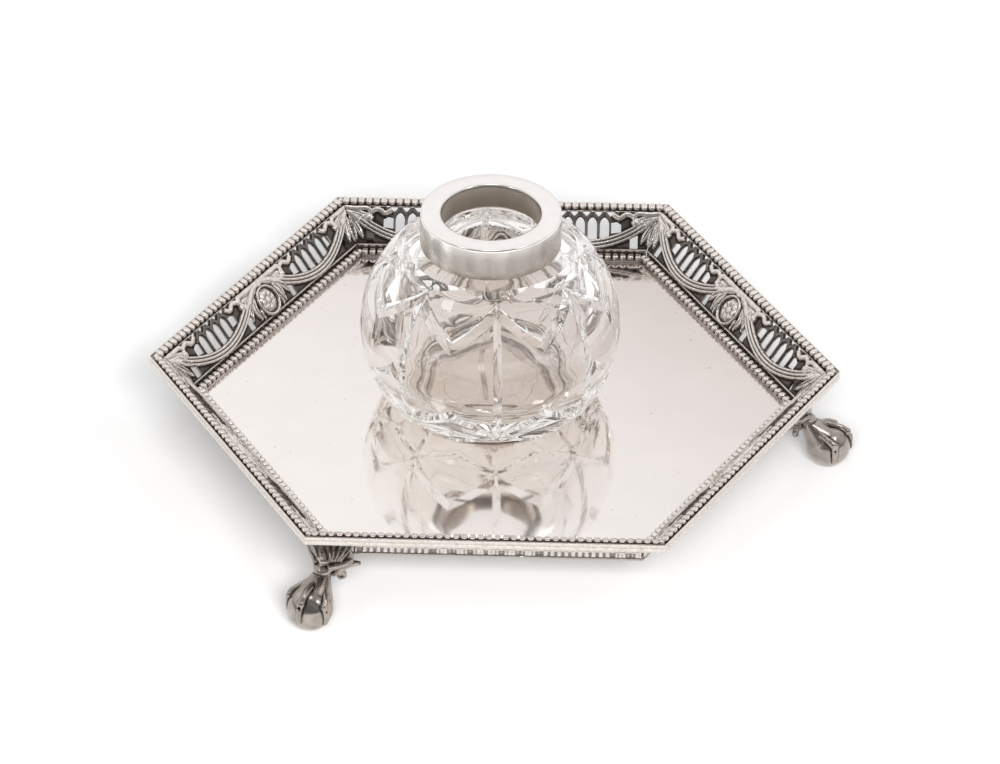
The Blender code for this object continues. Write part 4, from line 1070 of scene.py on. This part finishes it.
def add_world():
    """White as seen, dim as light, and greyer low down and in front in what the silver mirrors."""
    world = bpy.data.worlds.new("studio")
    bpy.context.scene.world = world
    world.use_nodes = True
    tree = world.node_tree
    tree.nodes.clear()
    way = place_of(tree, "Generated")[1]
    height = ramp(tree, share_of(tree, way["Z"], -0.2, 1.0),
                  (0.0, (0.42, 0.39, 0.37)), (0.20, (0.50, 0.47, 0.45)), (0.40, (0.88, 0.86, 0.85)),
                  (0.62, (1.0, 0.99, 0.985)), (0.82, (0.95, 0.94, 0.93)), (1.0, (0.86, 0.85, 0.85)))
    front = ramp(tree, share_of(tree, way["Y"], -0.75, 0.10), (0.0, 0.30), (0.55, 0.62), (1.0, 1.0))
    light = mixed(tree, seen_by(tree, "Glossy"), (0.24, 0.24, 0.245), product(tree, height, front))
    colour = mixed(tree, seen_by(tree, "Camera", "Transmission"), light, (1.0, 1.0, 1.0))
    background = node(tree, "ShaderNodeBackground", colour, Strength=1.0)
    node(tree, "ShaderNodeOutputWorld", background.outputs[0])


def way_to(azimuth, elevation):
    """The direction that lies azimuth degrees to the right of the front, and elevation degrees up."""
    turn, lean = math.radians(azimuth), math.radians(elevation)
    return Vector((math.sin(turn) * math.cos(lean), -math.cos(turn) * math.cos(lean), math.sin(lean)))


def add_lamp(name, azimuth, elevation, size, watts, colour=(1, 1, 1), mirrored=True):
    """A softbox 1.7 m from the tray, not seen through the glass."""
    lamp = bpy.data.lights.new(name, "AREA")
    lamp.shape = "RECTANGLE"
    lamp.size, lamp.size_y = size
    lamp.energy = watts
    lamp.color = colour
    made = add_object(name, lamp)
    made.location = way_to(azimuth, elevation) * 1.7
    made.rotation_euler = (Vector((0, 0, 0.02)) - made.location).to_track_quat("-Z", "Y").to_euler()
    made.visible_transmission = False
    made.visible_glossy = mirrored


def add_camera():
    """The camera that the photograph's hexagon gave; its focal length is in pixels of a 1000-pixel frame."""
    azimuth, elevation, roll = 1.39, 34.86, math.radians(0.51)
    target, distance, focal = Vector((-0.001037, 0.00884, 0.020)), 1.69619, 5710.62
    back, right = way_to(azimuth, elevation), way_to(azimuth + 90, 0)
    lens = bpy.data.cameras.new("photo_camera")
    lens.sensor_width = 36.0
    lens.lens = lens.sensor_width * focal / 1000
    camera = add_object("photo_camera", lens)
    turned = Matrix((right, back.cross(right), back)).transposed() @ Matrix.Rotation(roll, 3, "Z")
    camera.matrix_world = Matrix.Translation(target + back * distance) @ turned.to_4x4()
    bpy.context.scene.camera = camera


add_floor()
add_world()
add_lamp("front_softbox", 7, 36, (0.9, 0.5), 36, (1.0, 0.99, 0.98), mirrored=False)
add_lamp("top_softbox", 0, 82, (0.35, 0.35), 1.5)
add_lamp("left_softbox", -50, 45, (0.3, 0.3), 1.2)
add_lamp("right_softbox", 60, 50, (0.3, 0.3), 1.8)
add_camera()
cycles = bpy.context.scene.cycles
cycles.max_bounces = cycles.transmission_bounces = cycles.glossy_bounces = 48
bpy.context.scene.view_settings.view_transform = "Standard"
